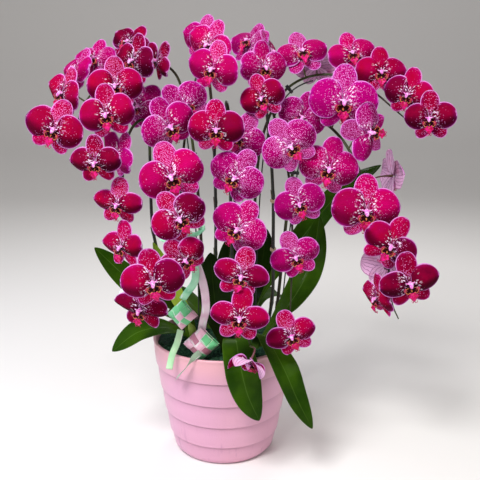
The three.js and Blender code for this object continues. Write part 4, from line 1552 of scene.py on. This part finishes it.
@dataclass(frozen=True)
class Leaf:
    """One strap leaf: its width, where its upper side looks, and its route from its crown."""

    name: str
    width: float
    face: Point
    route: tuple[Point, ...]
    tone: LeafTone = LeafTone.GROWN

    BASE_RADIUS = 8.0
    PIT_FLOOR = 172.35
    ROWS = 64
    COLUMNS = 19
    TIP_CROWDING = 1.25
    THICKNESS = 1.6
    # Millimetres: where the thickness is full inside the edge, and the midrib's groove
    THINNED = 5.0
    GROOVE_DEPTH = 0.7
    GROOVE_WIDTH = 1.3
    # How far the sides stand up, as a share of half the width, and how far they wave
    KEEL = 0.2
    WAVE = 0.6

    @staticmethod
    def _profile(along: Array) -> Array:
        """Works out how wide the leaf is.

        Args:
            along: shares of its length.

        Returns:
            The share of the full width at each of them.
        """
        body = np.interp(along, [0, 0.2, 0.4, 0.6, 1], [0.28, 0.52, 0.86, 1.0, 1.0])
        tip = np.clip((along - 0.55) / 0.45, 0, 1)
        return body * np.clip(1 - tip**2.3, 0, 1) ** 0.74 + 0.012

    def _facing(self, places: Array, shares: Array, heading: Array) -> tuple[Array, Array]:
        """Works out how the leaf turns from its upright foot to the way that its upper side looks.

        Args:
            places: its middle line.
            shares: the shares of the length there.
            heading: the direction in which it leaves its crown.

        Returns:
            The directions to its side and to its upper side, for each row of its points.
        """
        tangents = unit(np.gradient(places, axis=0))
        blend = smoothstep(shares, 0.0, 0.6)[:, None]
        towards = unit(np.array(self.face, float)) * blend + heading * (blend - 1)
        towards = towards + np.array([0, 0, 2.0]) * blend * (1 - blend)
        side = unit(np.cross(tangents, towards))
        up = unit(np.cross(side, tangents))
        return side[:, None], up[:, None]

    def add(self, maker: MeshMaker, crown: tuple[float, float], rng: Draws) -> None:
        """Adds the leaf to its plant's mesh.

        Args:
            maker: the mesh that gathers the plant's leaves.
            crown: where its crown stands.
            rng: the plant's random numbers.
        """
        centre = np.array([*crown, 0.0])
        heading = unit(np.array([*self.route[0][:2], 0.0]) - centre)
        foot = centre + heading * self.BASE_RADIUS
        spine = Route([foot + [0, 0, self.PIT_FLOOR], foot + [0, 0, MOSS_TOP + 6], *self.route])
        shares = 1 - (1 - np.linspace(0, 1, self.ROWS)) ** self.TIP_CROWDING
        places = spine.at(shares)
        side, up = self._facing(places, shares, heading)
        across = np.sin(np.linspace(-1, 1, self.COLUMNS) * math.pi / 2)
        half = (self.width / 2 * self._profile(shares))[:, None]
        u, v = np.meshgrid(across, shares)
        keel = self.KEEL * np.abs(u) ** 1.3 * half * np.interp(v, [0, 0.7, 1], [1.0, 1.0, 0.5])
        wave = self.WAVE * np.sin(v * 17 + rng.uniform(0, 6)) * np.abs(u) ** 2
        middle = places[:, None] + side * (u * half)[..., None] + up * (keel + wave)[..., None]
        inside = smoothstep((1 - np.abs(u)) * half, 0, self.THINNED)
        thick = self.THICKNESS / 2 * (0.3 + 0.7 * inside) * np.interp(v, [0, 0.9, 1], [1.2, 1.0, 0.5])
        groove = self.GROOVE_DEPTH * np.exp(-((u * half / self.GROOVE_WIDTH) ** 2))
        upper = middle + up * (thick - groove * np.minimum(1, half / 10))[..., None]
        lower = middle - up * (thick + groove * 0.6)[..., None]
        form = np.stack([u, v, np.zeros_like(u)], axis=-1)
        under = np.stack([u, v, np.ones_like(u)], axis=-1)
        maker.add_blade(upper, lower, self.tone.value, values={"form": (form, under)})


@dataclass(frozen=True)
class Plant:
    """One leafy stem: its crown and its leaves."""

    name: str
    crown: tuple[float, float]
    leaves: tuple[Leaf, ...]

    CROWN_HEIGHT = 22.0
    FOOT_RADIUS = 6.5
    CROWN_RADIUS = 8.8
    TOP_RADIUS = 3.0

    def make(self, finishes: "Finishes", seed: int) -> None:
        """Makes the plant's piece.

        Args:
            finishes: the materials of the whole part.
            seed: the start of its random numbers.
        """
        maker = MeshMaker(fields=("form",))
        rng = np.random.default_rng(seed)
        x, y = self.crown
        heights = np.linspace(0, 1, 12)
        path = np.array([[x, y, Leaf.PIT_FLOOR + self.CROWN_HEIGHT * h] for h in heights])
        radii = [self.FOOT_RADIUS, self.CROWN_RADIUS, self.CROWN_RADIUS * 0.62, self.TOP_RADIUS]
        maker.add_tube(path, np.interp(heights, [0, 0.15, 0.8, 1], radii), 20)
        for leaf in self.leaves:
            leaf.add(maker, self.crown, rng)
        maker.make(f"strap_{self.name}", finishes.leaf, "leaf", f"leaves_{self.name}")


PLANTS = (
    Plant("left", (-50, -14), (
        Leaf("low", 46, (0.25, -0.35, 1), ((-90, -30, 214), (-132, -46, 214), (-174, -58, 186))),
        Leaf("high", 44, (0.35, -0.9, 0.6),
             ((-60, 6, 212), (-92, 0, 240), (-144, -8, 282), (-202, -18, 344))),
        Leaf("upright", 24, (0.3, -1, 0.2),
             ((-50, -34, 214), (-74, -30, 270), (-110, -14, 352)), LeafTone.YOUNG))),
    Plant("front", (8, -52), (
        Leaf("hanging", 52, (0.2, -1, 0.7),
             ((20, -94, 220), (26, -128, 200), (38, -136, 150), (56, -134, 106))),
        Leaf("upright", 50, (0.2, -1, 0.3),
             ((-4, -46, 214), (-13, -41, 270), (-19, -37, 341)), LeafTone.OLD))),
    Plant("right", (54, -24), (
        Leaf("hanging", 46, (0.6, -0.8, 0.7),
             ((66, -84, 220), (90, -124, 190), (114, -132, 136), (136, -132, 92))),
        Leaf("high", 48, (-0.5, -1, 0.3),
             ((82, -26, 222), (112, -24, 262), (142, -4, 316), (154, 12, 390))))),
    Plant("back_left", (-24, 62), (
        Leaf("low", 52, (0.3, -0.4, 1), ((-62, 82, 220), (-102, 112, 224), (-140, 136, 196))),
        Leaf("middle", 46, (0.2, -1, 0.2), ((-8, 68, 222), (5, 73, 275), (9, 78, 338)), LeafTone.OLD))),
    Plant("back_right", (38, 66), (
        Leaf("tall", 42, (-0.6, -1, 0.4), ((66, 62, 240), (130, 58, 340), (196, 48, 425), (254, 42, 466))),
        Leaf("low", 52, (-0.2, -0.5, 1), ((58, 104, 220), (90, 144, 216), (116, 176, 182))),
        Leaf("upright", 44, (-0.1, -1, 0.2), ((50, 74, 226), (64, 82, 285), (72, 88, 350)), LeafTone.OLD))),
)


# Pot and filling


@dataclass(frozen=True)
class Pot:
    """The round pot: five bands that each flare a little, a thin rim and a flat foot."""

    height: float = 193.0
    rim_radius: float = 115.0
    foot_radius: float = 80.0
    band_edges: tuple[float, ...] = (0, 35, 73, 112, 153)
    flare: float = 2.6
    floor: float = 7.0
    inner_foot: float = 75.0
    inner_rim: float = 110.0
    rim_depth: float = 5.0
    sides: int = 144

    # How far below a band's top the painted shade under the band above begins, and how dark it gets
    SHADE_DEPTH = 17.0
    SHADE = 0.6
    BULGE = 0.5

    def outer_radius(self, z: float) -> float:
        """Returns the wall's outer radius at a height, without the bands' flare."""
        return self.foot_radius + (self.rim_radius - self.foot_radius) * (z / self.height) ** 0.85

    def inner_radius(self, z: float) -> float:
        """Returns the wall's inner radius at a height."""
        share = (z - self.floor) / (self.height - self.floor)
        return self.inner_foot + (self.inner_rim - self.inner_foot) * share

    def _band(self, low: float, high: float) -> list[tuple[float, float, float, float]]:
        """Works out one band's section, with its lower edge.

        Args:
            low: the height of its lower edge, which is 0 for the pot's foot.
            high: the height of its upper edge.

        Returns:
            Rows of radius, height, how much painted shade darkens it in a crevice, and 0 for outside.
        """
        if low == 0:
            # The foot is darker where it meets the floor: painted shade
            rows = [(self.foot_radius - 5, 0, 0.6, 0), (self.foot_radius - 4, 0.4, 0.4, 0),
                    (self.foot_radius - 2, 2.5, 0.1, 0), (self.outer_radius(8) + 0.4, 8, 0, 0)]
            first, outward = 12, 0.2
        else:
            edge = self.outer_radius(low) + self.flare
            rows = [(self.outer_radius(low) + 0.1, low - 0.7, 0.5, 0), (edge - 0.9, low - 0.3, 0, 0),
                    (edge - 0.15, low + 0.3, 0, 0), (edge, low + 1.2, 0, 0), (edge + 0.05, low + 3, 0, 0)]
            first, outward = low + 6, self.flare * 0.86
        start = self.outer_radius(first) + outward
        end = self.outer_radius(high) - 0.3
        for share in np.linspace(0, 1, 9):
            z = first + (high - 2.2 - first) * share
            bulge = self.BULGE * math.sin(math.pi * share)
            depth = max(0.0, (z - high + self.SHADE_DEPTH) / self.SHADE_DEPTH)
            shaded = 0.0 if high > self.band_edges[-1] else self.SHADE * depth**1.3
            rows.append((start + (end - start) * share + bulge, z, shaded, 0))
        return rows

    def _outline(self) -> list[tuple[float, float, float, float]]:
        """Works out the wall's whole section, from the foot's middle over the rim to the floor's middle.

        Returns:
            Rows of radius, height, how much painted shade darkens it in a crevice, and whether it is inside.
        """
        rows = [(0.01, 0, 0, 0), (60, 0, 0, 0)]
        tops = [*self.band_edges[1:], self.height - self.rim_depth]
        for low, high in zip(self.band_edges, tops):
            rows += self._band(low, high)
        top, rim = self.height, self.rim_radius
        rows += [(rim - 0.6, top - 4.6, 0, 0), (rim - 0.1, top - 3.4, 0, 0), (rim, top - 2, 0, 0),
                 (rim - 0.4, top - 0.6, 0, 0), (rim - 1.4, top, 0, 0), (rim - 3.2, top, 0, 0),
                 (rim - 4.3, top - 1, 0, 1), (self.inner_radius(top - 6), top - 6, 0, 1)]
        for z in np.linspace(top - 14, self.floor + 1, 8):
            rows.append((self.inner_radius(z), z, 0, 1))
        rows += [(self.inner_foot, self.floor, 0, 1), (0.01, self.floor, 0, 1)]
        return rows

    def make(self, finishes: "Finishes") -> None:
        """Makes the pot's piece.

        Args:
            finishes: the materials of the whole part.
        """
        maker = MeshMaker(fields=("form",))
        rows = self._outline()
        angles = circle(self.sides)
        grid = np.array([[(r * math.cos(a), r * math.sin(a), z) for a in angles] for r, z, _, _ in rows])
        form = np.array([[(painted_shade, z / self.height, inner) for _ in angles] for _, z, painted_shade, inner in rows])
        maker.add_grid(grid, around=True, values={"form": form})
        maker.make("banded_pot", [finishes.pot], "pot", "pot")


@dataclass(frozen=True)
class Moss:
    """The moss on the filling: a lumpy mat with many small tufts, and pits for the crowns."""

    under: float = 166.4
    radius: float = 107.3
    pits: tuple[tuple[float, float], ...] = tuple(plant.crown for plant in PLANTS)
    pit_radius: float = 19.0
    pit_floor: float = 173.5
    tufts: int = 2600
    blades: int = 7

    def _height(self, x: Array, y: Array) -> Array:
        """Works out the mat's height.

        Args:
            x: places to the right, in millimetres.
            y: places to the back.

        Returns:
            The height at each of them.
        """
        lumps = 1.1 * np.sin(x * 0.21 + 1) * np.cos(y * 0.17) + 0.8 * np.sin(x * 0.47 - y * 0.39)
        height = MOSS_TOP + lumps
        for px, py in self.pits:
            near = np.hypot(x - px, y - py)
            sunk = smoothstep(-near, -self.pit_radius, -self.pit_radius * 0.72)
            height = height - (MOSS_TOP - self.pit_floor) * sunk
        edge = np.hypot(x, y)
        return height - 2.0 * smoothstep(edge, self.radius - 4, self.radius)

    def make(self, finishes: "Finishes") -> None:
        """Makes the mat and its tufts as one piece.

        Args:
            finishes: the materials of the whole part.
        """
        maker = MeshMaker()
        radii = np.concatenate([[0.01], np.linspace(2, self.radius, 46)])
        angles = circle(120)
        rings = []
        for radius in radii:
            x, y = radius * np.cos(angles), radius * np.sin(angles)
            rings.append(np.stack([x, y, self._height(x, y)], axis=-1))
        low = rings[-1].copy()
        low[:, 2] = self.under
        centre = low * [0.001, 0.001, 1]
        maker.add_grid(np.stack([centre, low, *rings[::-1]]), around=True)
        self._add_tufts(maker)
        maker.make("moss_mat", [finishes.moss, finishes.tuft], "moss", "moss")

    def _add_tufts(self, maker: MeshMaker) -> None:
        """Adds the small curved blades that stand in tufts outside the pits.

        Args:
            maker: the moss's mesh.
        """
        rng = np.random.default_rng(7)
        for _ in range(self.tufts):
            radius = self.radius * 0.97 * math.sqrt(rng.uniform())
            angle = rng.uniform(0, 2 * math.pi)
            x, y = radius * math.cos(angle), radius * math.sin(angle)
            if any(math.hypot(x - px, y - py) < self.pit_radius * 0.8 for px, py in self.pits):
                continue
            z = float(self._height(np.array(x), np.array(y)))
            for _ in range(self.blades):
                self._add_blade(maker, rng, np.array([x, y, z - 0.4]))

    @staticmethod
    def _add_blade(maker: MeshMaker, rng: Draws, foot: Array) -> None:
        """Adds one moss blade.

        Args:
            maker: the moss's mesh.
            rng: the moss's random numbers.
            foot: the middle of its tuft's foot.
        """
        heading = rng.uniform(0, 2 * math.pi)
        lean = np.array([math.cos(heading), math.sin(heading), 0])
        side = np.array([-lean[1], lean[0], 0]) * rng.uniform(0.25, 0.5)
        height = rng.uniform(1.2, 2.6)
        reach = rng.uniform(1.2, 3.4)
        foot = foot + np.array([rng.uniform(-2, 2), rng.uniform(-2, 2), 0])
        middle = foot + lean * reach * 0.45 + [0, 0, height]
        tip = foot + lean * reach + [0, 0, height * rng.uniform(0.5, 1.0)]
        points = np.stack([foot - side, foot + side, middle + side * 0.8, middle - side * 0.8, tip])
        faces = np.array([[0, 1, 2, 3], [3, 2, 4, 4]])
        maker.add(points, faces, 1)


# Ribbons and pouches


@dataclass(frozen=True)
class Ribbon:
    """One length of satin ribbon along a route, seen by the way that its face looks."""

    name: str
    width: float
    route: tuple[Point, ...]
    face: Point = (0.1, -1.0, 0.1)
    twist: float = 0.0
    turned_by: float = 0.9
    curl: float = 0.06

    THICKNESS = 0.35
    COLUMNS = 9
    ROW_STEP = 2.2

    @property
    def length(self) -> float:
        """The ribbon's flat length in millimetres."""
        return Route(self.route).length

    def add(self, maker: MeshMaker) -> None:
        """Adds the ribbon to a mesh as a thin closed strip.

        Args:
            maker: the mesh of the ribbon that it is a part of.
        """
        spine = Route(self.route)
        rows = max(16, int(spine.length / self.ROW_STEP))
        shares = np.linspace(0, 1, rows)
        places = spine.at(shares)
        tangents = unit(np.gradient(places, axis=0))
        side = unit(np.cross(tangents, np.array(self.face, float)))
        up = unit(np.cross(side, tangents))
        turns = np.radians(self.twist) * smoothstep(shares, 0.1, self.turned_by)[:, None]
        side, up = side * np.cos(turns) + up * np.sin(turns), up * np.cos(turns) - side * np.sin(turns)
        u = np.linspace(-1, 1, self.COLUMNS)
        bow = self.curl * self.width * (1 - u**2)
        sideways = side[:, None] * (u * self.width / 2)[None, :, None]
        middle = places[:, None] + sideways + up[:, None] * bow[None, :, None]
        across, along = np.meshgrid(u * self.width / 2, shares * spine.length)
        form = np.stack([across, along, np.zeros_like(across)], axis=-1)
        offset = up[:, None] * self.THICKNESS / 2
        maker.add_blade(middle + offset, middle - offset, values={"form": (form, form)})


@dataclass(frozen=True)
class RibbonSet:
    """A tied ribbon, made as one sheet of cloth; its node's name is its slot's too."""

    name: str
    node: str
    parts: tuple[Ribbon, ...]
    rests_on: tuple[str, ...]
    knot: Optional[Point] = None

    # The knot's turns: how far up each lies, and its radius
    TURNS = ((-1.7, 3.6), (0.0, 4.3), (1.7, 3.7))

    def make(self, material: Material) -> None:
        """Makes the ribbon's piece, and its knot where it has one.

        Args:
            material: its satin.
        """
        maker = MeshMaker(fields=("form",))
        for part in self.parts:
            part.add(maker)
        piece = maker.make(self.name, [material], self.node, self.node)
        width = max(part.width for part in self.parts)
        length = sum(part.length * part.width for part in self.parts) / width
        with_pieces = [self._make_knot(material)] if self.knot else []
        LOG.info("%s is cut from %.0f by %.0f mm", self.name, width, length)

    def _make_knot(self, material: Material) -> bpy.types.Object:
        """Makes the ribbon's turns round the stem.

        Args:
            material: the ribbon's satin.

        Returns:
            The knot's piece.
        """
        maker = MeshMaker(fields=("form",))
        angles = circle(33, closed=True)
        x, y, z = self.knot
        for level, radius in self.TURNS:
            lift = z + level + 0.5 * np.sin(angles)
            ring = np.stack([x + radius * np.cos(angles), y + radius * np.sin(angles), lift], axis=-1)
            maker.add_tube(ring, np.full(len(angles), 1.0), 8)
        return maker.make(f"{self.name}_knot", [material], self.node, self.node)


class Weave(Enum):
    """The ribbon colours of a woven pouch's checks, by finish number."""

    MAUVE = 0
    GREEN = 1
    PALE = 2


@dataclass(frozen=True)
class Pouch:
    """A woven pouch that stands on a corner: ribbons up its one side cross those up its other."""

    name: str
    at: Point
    side: float
    depth: float
    turn: float
    columns: tuple[Weave, ...]
    rows: tuple[Weave, ...]

    CHECKS = 3
    CELL = 8
    # How far a check reaches over its neighbours, as a share of half the side
    OVERLAP = 0.012
    # The share of its depth that the pouch loses towards its edges
    FALL = 0.72
    # Millimetres: how far a check bows out and dips under, and where its outer and inner sides lie
    BOW = 0.45
    DIP = 0.3
    OUTER = 0.5
    INNER = 1.1

    def make(self, finishes: "Finishes") -> None:
        """Makes the pouch.

        Args:
            finishes: the materials of the whole part.
        """
        maker = MeshMaker(fields=("form",))
        for hand in (-1, 1):
            for row in range(self.CHECKS):
                for column in range(self.CHECKS):
                    self._add_check(maker, row, column, hand)
        maker.points = [self._placed(points) for points in maker.points]
        piece = maker.make(f"woven_{self.name}", finishes.weave, "pouch_pink", self.name)

    def _placed(self, local: Array) -> Array:
        """Turns points onto the pouch's corner and puts them in place.

        Args:
            local: the local points, one a row.

        Returns:
            Their places in the model.
        """
        c = math.sqrt(0.5)
        x, y, z = local.T
        x, z = c * x + c * z, c * z - c * x
        turned = math.radians(-self.turn)
        x, y = x * math.cos(turned) - y * math.sin(turned), x * math.sin(turned) + y * math.cos(turned)
        return np.stack([x, y, z], axis=1) + np.array(self.at)

    def _add_check(self, maker: MeshMaker, row: int, column: int, hand: int) -> None:
        """Adds one check as a thin closed blade, bowed over or under its neighbours.

        Args:
            maker: the pouch's mesh.
            row: the check's row, from the bottom corner.
            column: the check's column.
            hand: -1 for the front and 1 for the back.
        """
        over = (row + column) % 2 == 0
        ribbon = self.columns[column] if over else self.rows[row]
        t = np.linspace(0, 1, self.CELL + 1)
        step = 2 / self.CHECKS
        reach = (step + 2 * self.OVERLAP) * t - 1 - self.OVERLAP
        a, b = np.meshgrid(column * step + reach, row * step + reach, indexing="ij")
        a, b = np.clip(a, -1, 1), np.clip(b, -1, 1)
        swell = 1 - self.FALL * np.maximum(np.abs(a), np.abs(b)) ** 2
        face = np.stack([a * self.side / 2, hand * self.depth / 2 * swell, b * self.side / 2], axis=-1)
        normal = unit(np.cross(np.gradient(face, axis=0), np.gradient(face, axis=1)))
        if normal[..., 1].mean() * hand < 0:
            normal = -normal
        u, v = np.meshgrid(2 * t - 1, 2 * t - 1, indexing="ij")
        across, along = (u, v) if over else (v, u)
        dip = 0.0 if over else self.DIP
        rise = self.BOW * (1 - np.abs(across) ** 3) - dip * np.abs(across) ** 4
        outer = face + normal * (rise - self.OUTER)[..., None]
        inner = face - normal * self.INNER
        half = self.side / self.CHECKS / 2
        form = np.stack([across * half, along * half + 7 * row + 3 * column, np.zeros_like(u)], axis=-1)
        if hand < 0:
            outer, inner, form = (each[:, ::-1] for each in (outer, inner, form))
        maker.add_blade(outer, inner, ribbon.value, values={"form": (form, form)})


RIBBONS = (
    RibbonSet("green_ribbon", "ribbon_green", (
        Ribbon("hanging", 11, ((-56, -115, 397), (-50, -120, 384), (-40, -121, 356), (-38, -117, 322),
                               (-52, -101, 296), (-59, -89, 282.6))),
        Ribbon("right_loop", 10, ((-54, -111, 400), (-40, -112, 410), (-27, -114, 398), (-38, -112, 388),
                                  (-54, -111, 394)), face=(0.0, -0.5, 1.0)),
        Ribbon("left_loop", 10, ((-62, -111, 399), (-74, -112, 396), (-84, -114, 382), (-74, -112, 380),
                                 (-62, -111, 394)), face=(0.0, -0.5, 1.0))),
        ("stems_centre_left",), knot=(-58, -109.8, 396)),
    RibbonSet("pink_ribbon", "ribbon_pink", (
        Ribbon("hanging", 12, ((-56, -115, 385), (-40, -114, 354), (-27, -107, 312), (-24, -98, 272),
                               (-29, -88, 246), (-32, -81.5, 229))),),
        ("stems_centre_left",), knot=(-58.5, -111.5, 386)),
    RibbonSet("mint_tail", "tail_mint", (
        Ribbon("tail", 10, ((-63, -89.5, 234), (-68, -97, 216), (-75, -104, 200), (-80, -108, 178))),),
        ("woven_pouch_upper",)),
    RibbonSet("sage_tail", "tail_sage", (
        Ribbon("tail", 10, ((-33, -101, 201.6), (-41, -111, 199), (-50, -116, 189), (-60, -114, 176),
                            (-70, -107, 162)), face=(0.5, -0.7, 0.5), twist=68.0, turned_by=0.5),),
        ("woven_pouch_lower",)),
    RibbonSet("white_tail", "tail_white", (
        Ribbon("tail", 10, ((-82.2, -79, 259), (-104, -72, 268), (-124, -70, 282), (-140, -69, 292),
                            (-151, -70, 288), (-156, -72, 272)),
               face=(0.1, -1.0, 0.4)),),
        ("woven_pouch_upper",)),
)

POUCHES = (
    Pouch("pouch_upper", (-60, -88, 258), 34, 26, 18, (Weave.GREEN, Weave.PALE, Weave.PALE),
          (Weave.GREEN,) * 3),
    Pouch("pouch_lower", (-32, -88, 211.2), 39, 28, 8, (Weave.PALE, Weave.PALE, Weave.GREEN),
          (Weave.MAUVE, Weave.MAUVE, Weave.GREEN)),
)


# The whole part


class Finishes:
    """Every material of the part, made once."""

    def __init__(self) -> None:
        """Makes the materials."""
        self.petal = PetalFinish().material()
        self.lip = [
            FleshFinish("lip crimson", (0.4, 0.0015, 0.05), (0.66, 0.006, 0.2)).material(),
            FleshFinish("throat dark", (0.012, 0.0006, 0.003), (0.1, 0.004, 0.012), 420).material(),
            FleshFinish("crest amber", (0.6, 0.25, 0.07), (0.42, 0.07, 0.04), 420).material(),
            FleshFinish("column pink", (0.8, 0.14, 0.58), (0.94, 0.56, 0.86), 420).material(),
            FleshFinish("side lobe red", (0.4, 0.003, 0.04), (0.7, 0.06, 0.2), 420).material(),
        ]
        self.stem = StemFinish().material()
        self.pedicel = StemFinish("pedicel", (0.13, 0.16, 0.05), (0.16, 0.03, 0.06)).material()
        self.wire = PlasticFinish("coated wire", (0.008, 0.012, 0.01), (0.03, 0.05, 0.035)).material()
        self.clips = {
            "clip_black": PlasticFinish("clip black", (0.012, 0.012, 0.013), (0.05, 0.05, 0.05)).material(),
            "clip_beige": PlasticFinish("clip beige", (0.42, 0.3, 0.18), (0.55, 0.44, 0.3),
                                        roughness=0.55).material(),
        }
        self.leaf = [
            LeafFinish("leaf green").material(),
            LeafFinish("leaf young", (0.16, 0.3, 0.02), (0.3, 0.42, 0.04), (0.46, 0.6, 0.1),
                       (0.3, 0.42, 0.08),
                       (0.32, 0.44, 0.05)).material(),
            # Painted shade: the grown leaf's colours darkened for leaves in deep shade
            LeafFinish("leaf shaded", (0.004, 0.013, 0.0006), (0.011, 0.032, 0.001), (0.03, 0.06, 0.01),
                       (0.03, 0.07, 0.01), (0.03, 0.055, 0.006)).material(),
        ]
        self.pot = PotFinish().material()
        self.moss = CloudedFinish("moss mat", (0.008, 0.026, 0.018), (0.02, 0.06, 0.04), 120.0).material()
        self.tuft = CloudedFinish("moss tuft", (0.012, 0.05, 0.028), (0.06, 0.18, 0.09), 260.0).material()
        self.medium = CloudedFinish("bark medium", (0.06, 0.035, 0.02), (0.14, 0.09, 0.055), 90.0).material()
        # A satin's second colour is its painted fold shade
        self.ribbons = {
            "ribbon_green": SatinFinish("satin green", (0.46, 0.95, 0.62), (0.1, 0.62, 0.28), 11).material(),
            "ribbon_pink": SatinFinish("satin pink", (0.94, 0.74, 0.84), (0.8, 0.5, 0.66), 12).material(),
            "tail_mint": SatinFinish("satin mint", (0.6, 0.93, 0.56), (0.4, 0.8, 0.42), 10).material(),
            "tail_sage": SatinFinish("satin sage", (0.34, 0.5, 0.34), (0.22, 0.36, 0.22), 10).material(),
            "tail_white": SatinFinish("satin white", (0.8, 0.88, 0.85), (0.62, 0.72, 0.7), 10).material(),
        }
        # A weave's second colour is its painted fold shade, its last the painted highlight on its raised
        # edges
        self.weave = [
            SatinFinish("weave mauve", (0.5, 0.15, 0.24), (0.34, 0.085, 0.14), 12,
                        (1.0, 0.86, 0.88)).material(),
            SatinFinish("weave green", (0.14, 0.66, 0.26), (0.06, 0.42, 0.14), 12,
                        (0.8, 1.0, 0.74)).material(),
            SatinFinish("weave pale", (0.92, 0.52, 0.66), (0.8, 0.38, 0.52), 12,
                        (1.0, 0.9, 0.95)).material(),
        ]


@dataclass(frozen=True)
class Lamp:
    """One large soft square lamp that looks at the plant, in millimetres and watts."""

    name: str
    place: Point
    size: float
    power: float
    tint: Colour = (1.0, 1.0, 1.0)

    AIM = (0.0, 0.0, 380.0)

    def make(self) -> None:
        """Makes the lamp."""
        data = bpy.data.lights.new(self.name, "AREA")
        data.size = self.size * MM
        data.energy = self.power
        data.color = self.tint
        lamp = bpy.data.objects.new(self.name, data)
        lamp.location = Vector(self.place) * MM
        aim = Vector(self.AIM) * MM - lamp.location
        lamp.rotation_euler = aim.to_track_quat("-Z", "Y").to_euler()
        bpy.context.scene.collection.objects.link(lamp)


@dataclass(frozen=True)
class Studio:
    """The pale floor, the soft lights and the camera."""

    camera_at: Point = (27.0, -1159.0, 643.0)
    camera_down: float = 14.1
    lens: float = 56.25
    sensor: float = 36.0
    lamps: tuple[Lamp, ...] = (
        Lamp("key", (-600, -1300, 1900), 700, 52),
        Lamp("fill", (1300, -1100, 900), 1000, 6),
        Lamp("cool side", (-1400, -200, 700), 900, 7, (0.72, 0.78, 1.0)),
        Lamp("rim", (300, 1300, 1500), 800, 10),
    )

    # The floor's section in metres, from the front to the top of the curve behind, and half its breadth
    FLOOR = ((-6.0, 0.0), (2.2, 0.0), (3.0, 0.12), (3.5, 0.5), (3.8, 1.2), (3.9, 4.0))
    FLOOR_HALF = 6.0
    FLOOR_DROP = 0.0005
    SKY = (0.95, 0.93, 0.92, 1.0)
    SKY_STRENGTH = 0.26

    def make(self) -> None:
        """Makes the floor, the lights, the sky and the camera."""
        self._make_floor()
        for lamp in self.lamps:
            lamp.make()
        world = bpy.data.worlds.new("studio sky")
        world.use_nodes = True
        sky = world.node_tree.nodes["Background"]
        sky.inputs["Color"].default_value = self.SKY
        sky.inputs["Strength"].default_value = self.SKY_STRENGTH
        scene = bpy.context.scene
        scene.world = world
        scene.view_settings.view_transform = "Standard"
        camera = bpy.data.objects.new("camera", bpy.data.cameras.new("camera"))
        camera.data.lens = self.lens
        camera.data.sensor_width = self.sensor
        camera.location = Vector(self.camera_at) * MM
        camera.rotation_euler = (math.radians(90 - self.camera_down), 0, 0)
        scene.collection.objects.link(camera)
        scene.camera = camera

    def _make_floor(self) -> None:
        """Makes the floor and the soft curve behind it as one sheet."""
        sides = (-self.FLOOR_HALF, self.FLOOR_HALF)
        points = [(x, y, z - self.FLOOR_DROP) for y, z in self.FLOOR for x in sides]
        faces = [(2 * i, 2 * i + 1, 2 * i + 3, 2 * i + 2) for i in range(len(self.FLOOR) - 1)]
        mesh = bpy.data.meshes.new("studio_floor")
        mesh.from_pydata(points, [], faces)
        mesh.materials.append(StudioFinish().material())
        for polygon in mesh.polygons:
            polygon.use_smooth = True
        floor = bpy.data.objects.new("studio_floor", mesh)
        bpy.context.scene.collection.objects.link(floor)


def dress_medium(finishes: Finishes) -> None:
    """Gives the growing medium's own solid its material."""
    medium = bpy.data.objects["growing_medium"]
    medium.data.materials.clear()
    medium.data.materials.append(finishes.medium)


def main() -> None:
    """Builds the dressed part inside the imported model's frame."""
    logging.basicConfig(level=logging.INFO, format="%(name)s %(message)s")
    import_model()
    Studio().make()
    finishes = Finishes()
    Pot().make(finishes)
    dress_medium(finishes)
    Moss().make(finishes)
    for number, plant in enumerate(PLANTS):
        plant.make(finishes, 40 + number)
    for number, spray in enumerate(SPRAYS):
        spray.make(finishes, 1 + number)
    for pouch in POUCHES:
        pouch.make(finishes)
    for ribbon in RIBBONS:
        ribbon.make(finishes.ribbons[ribbon.node])


if __name__ == "__main__":
    main()
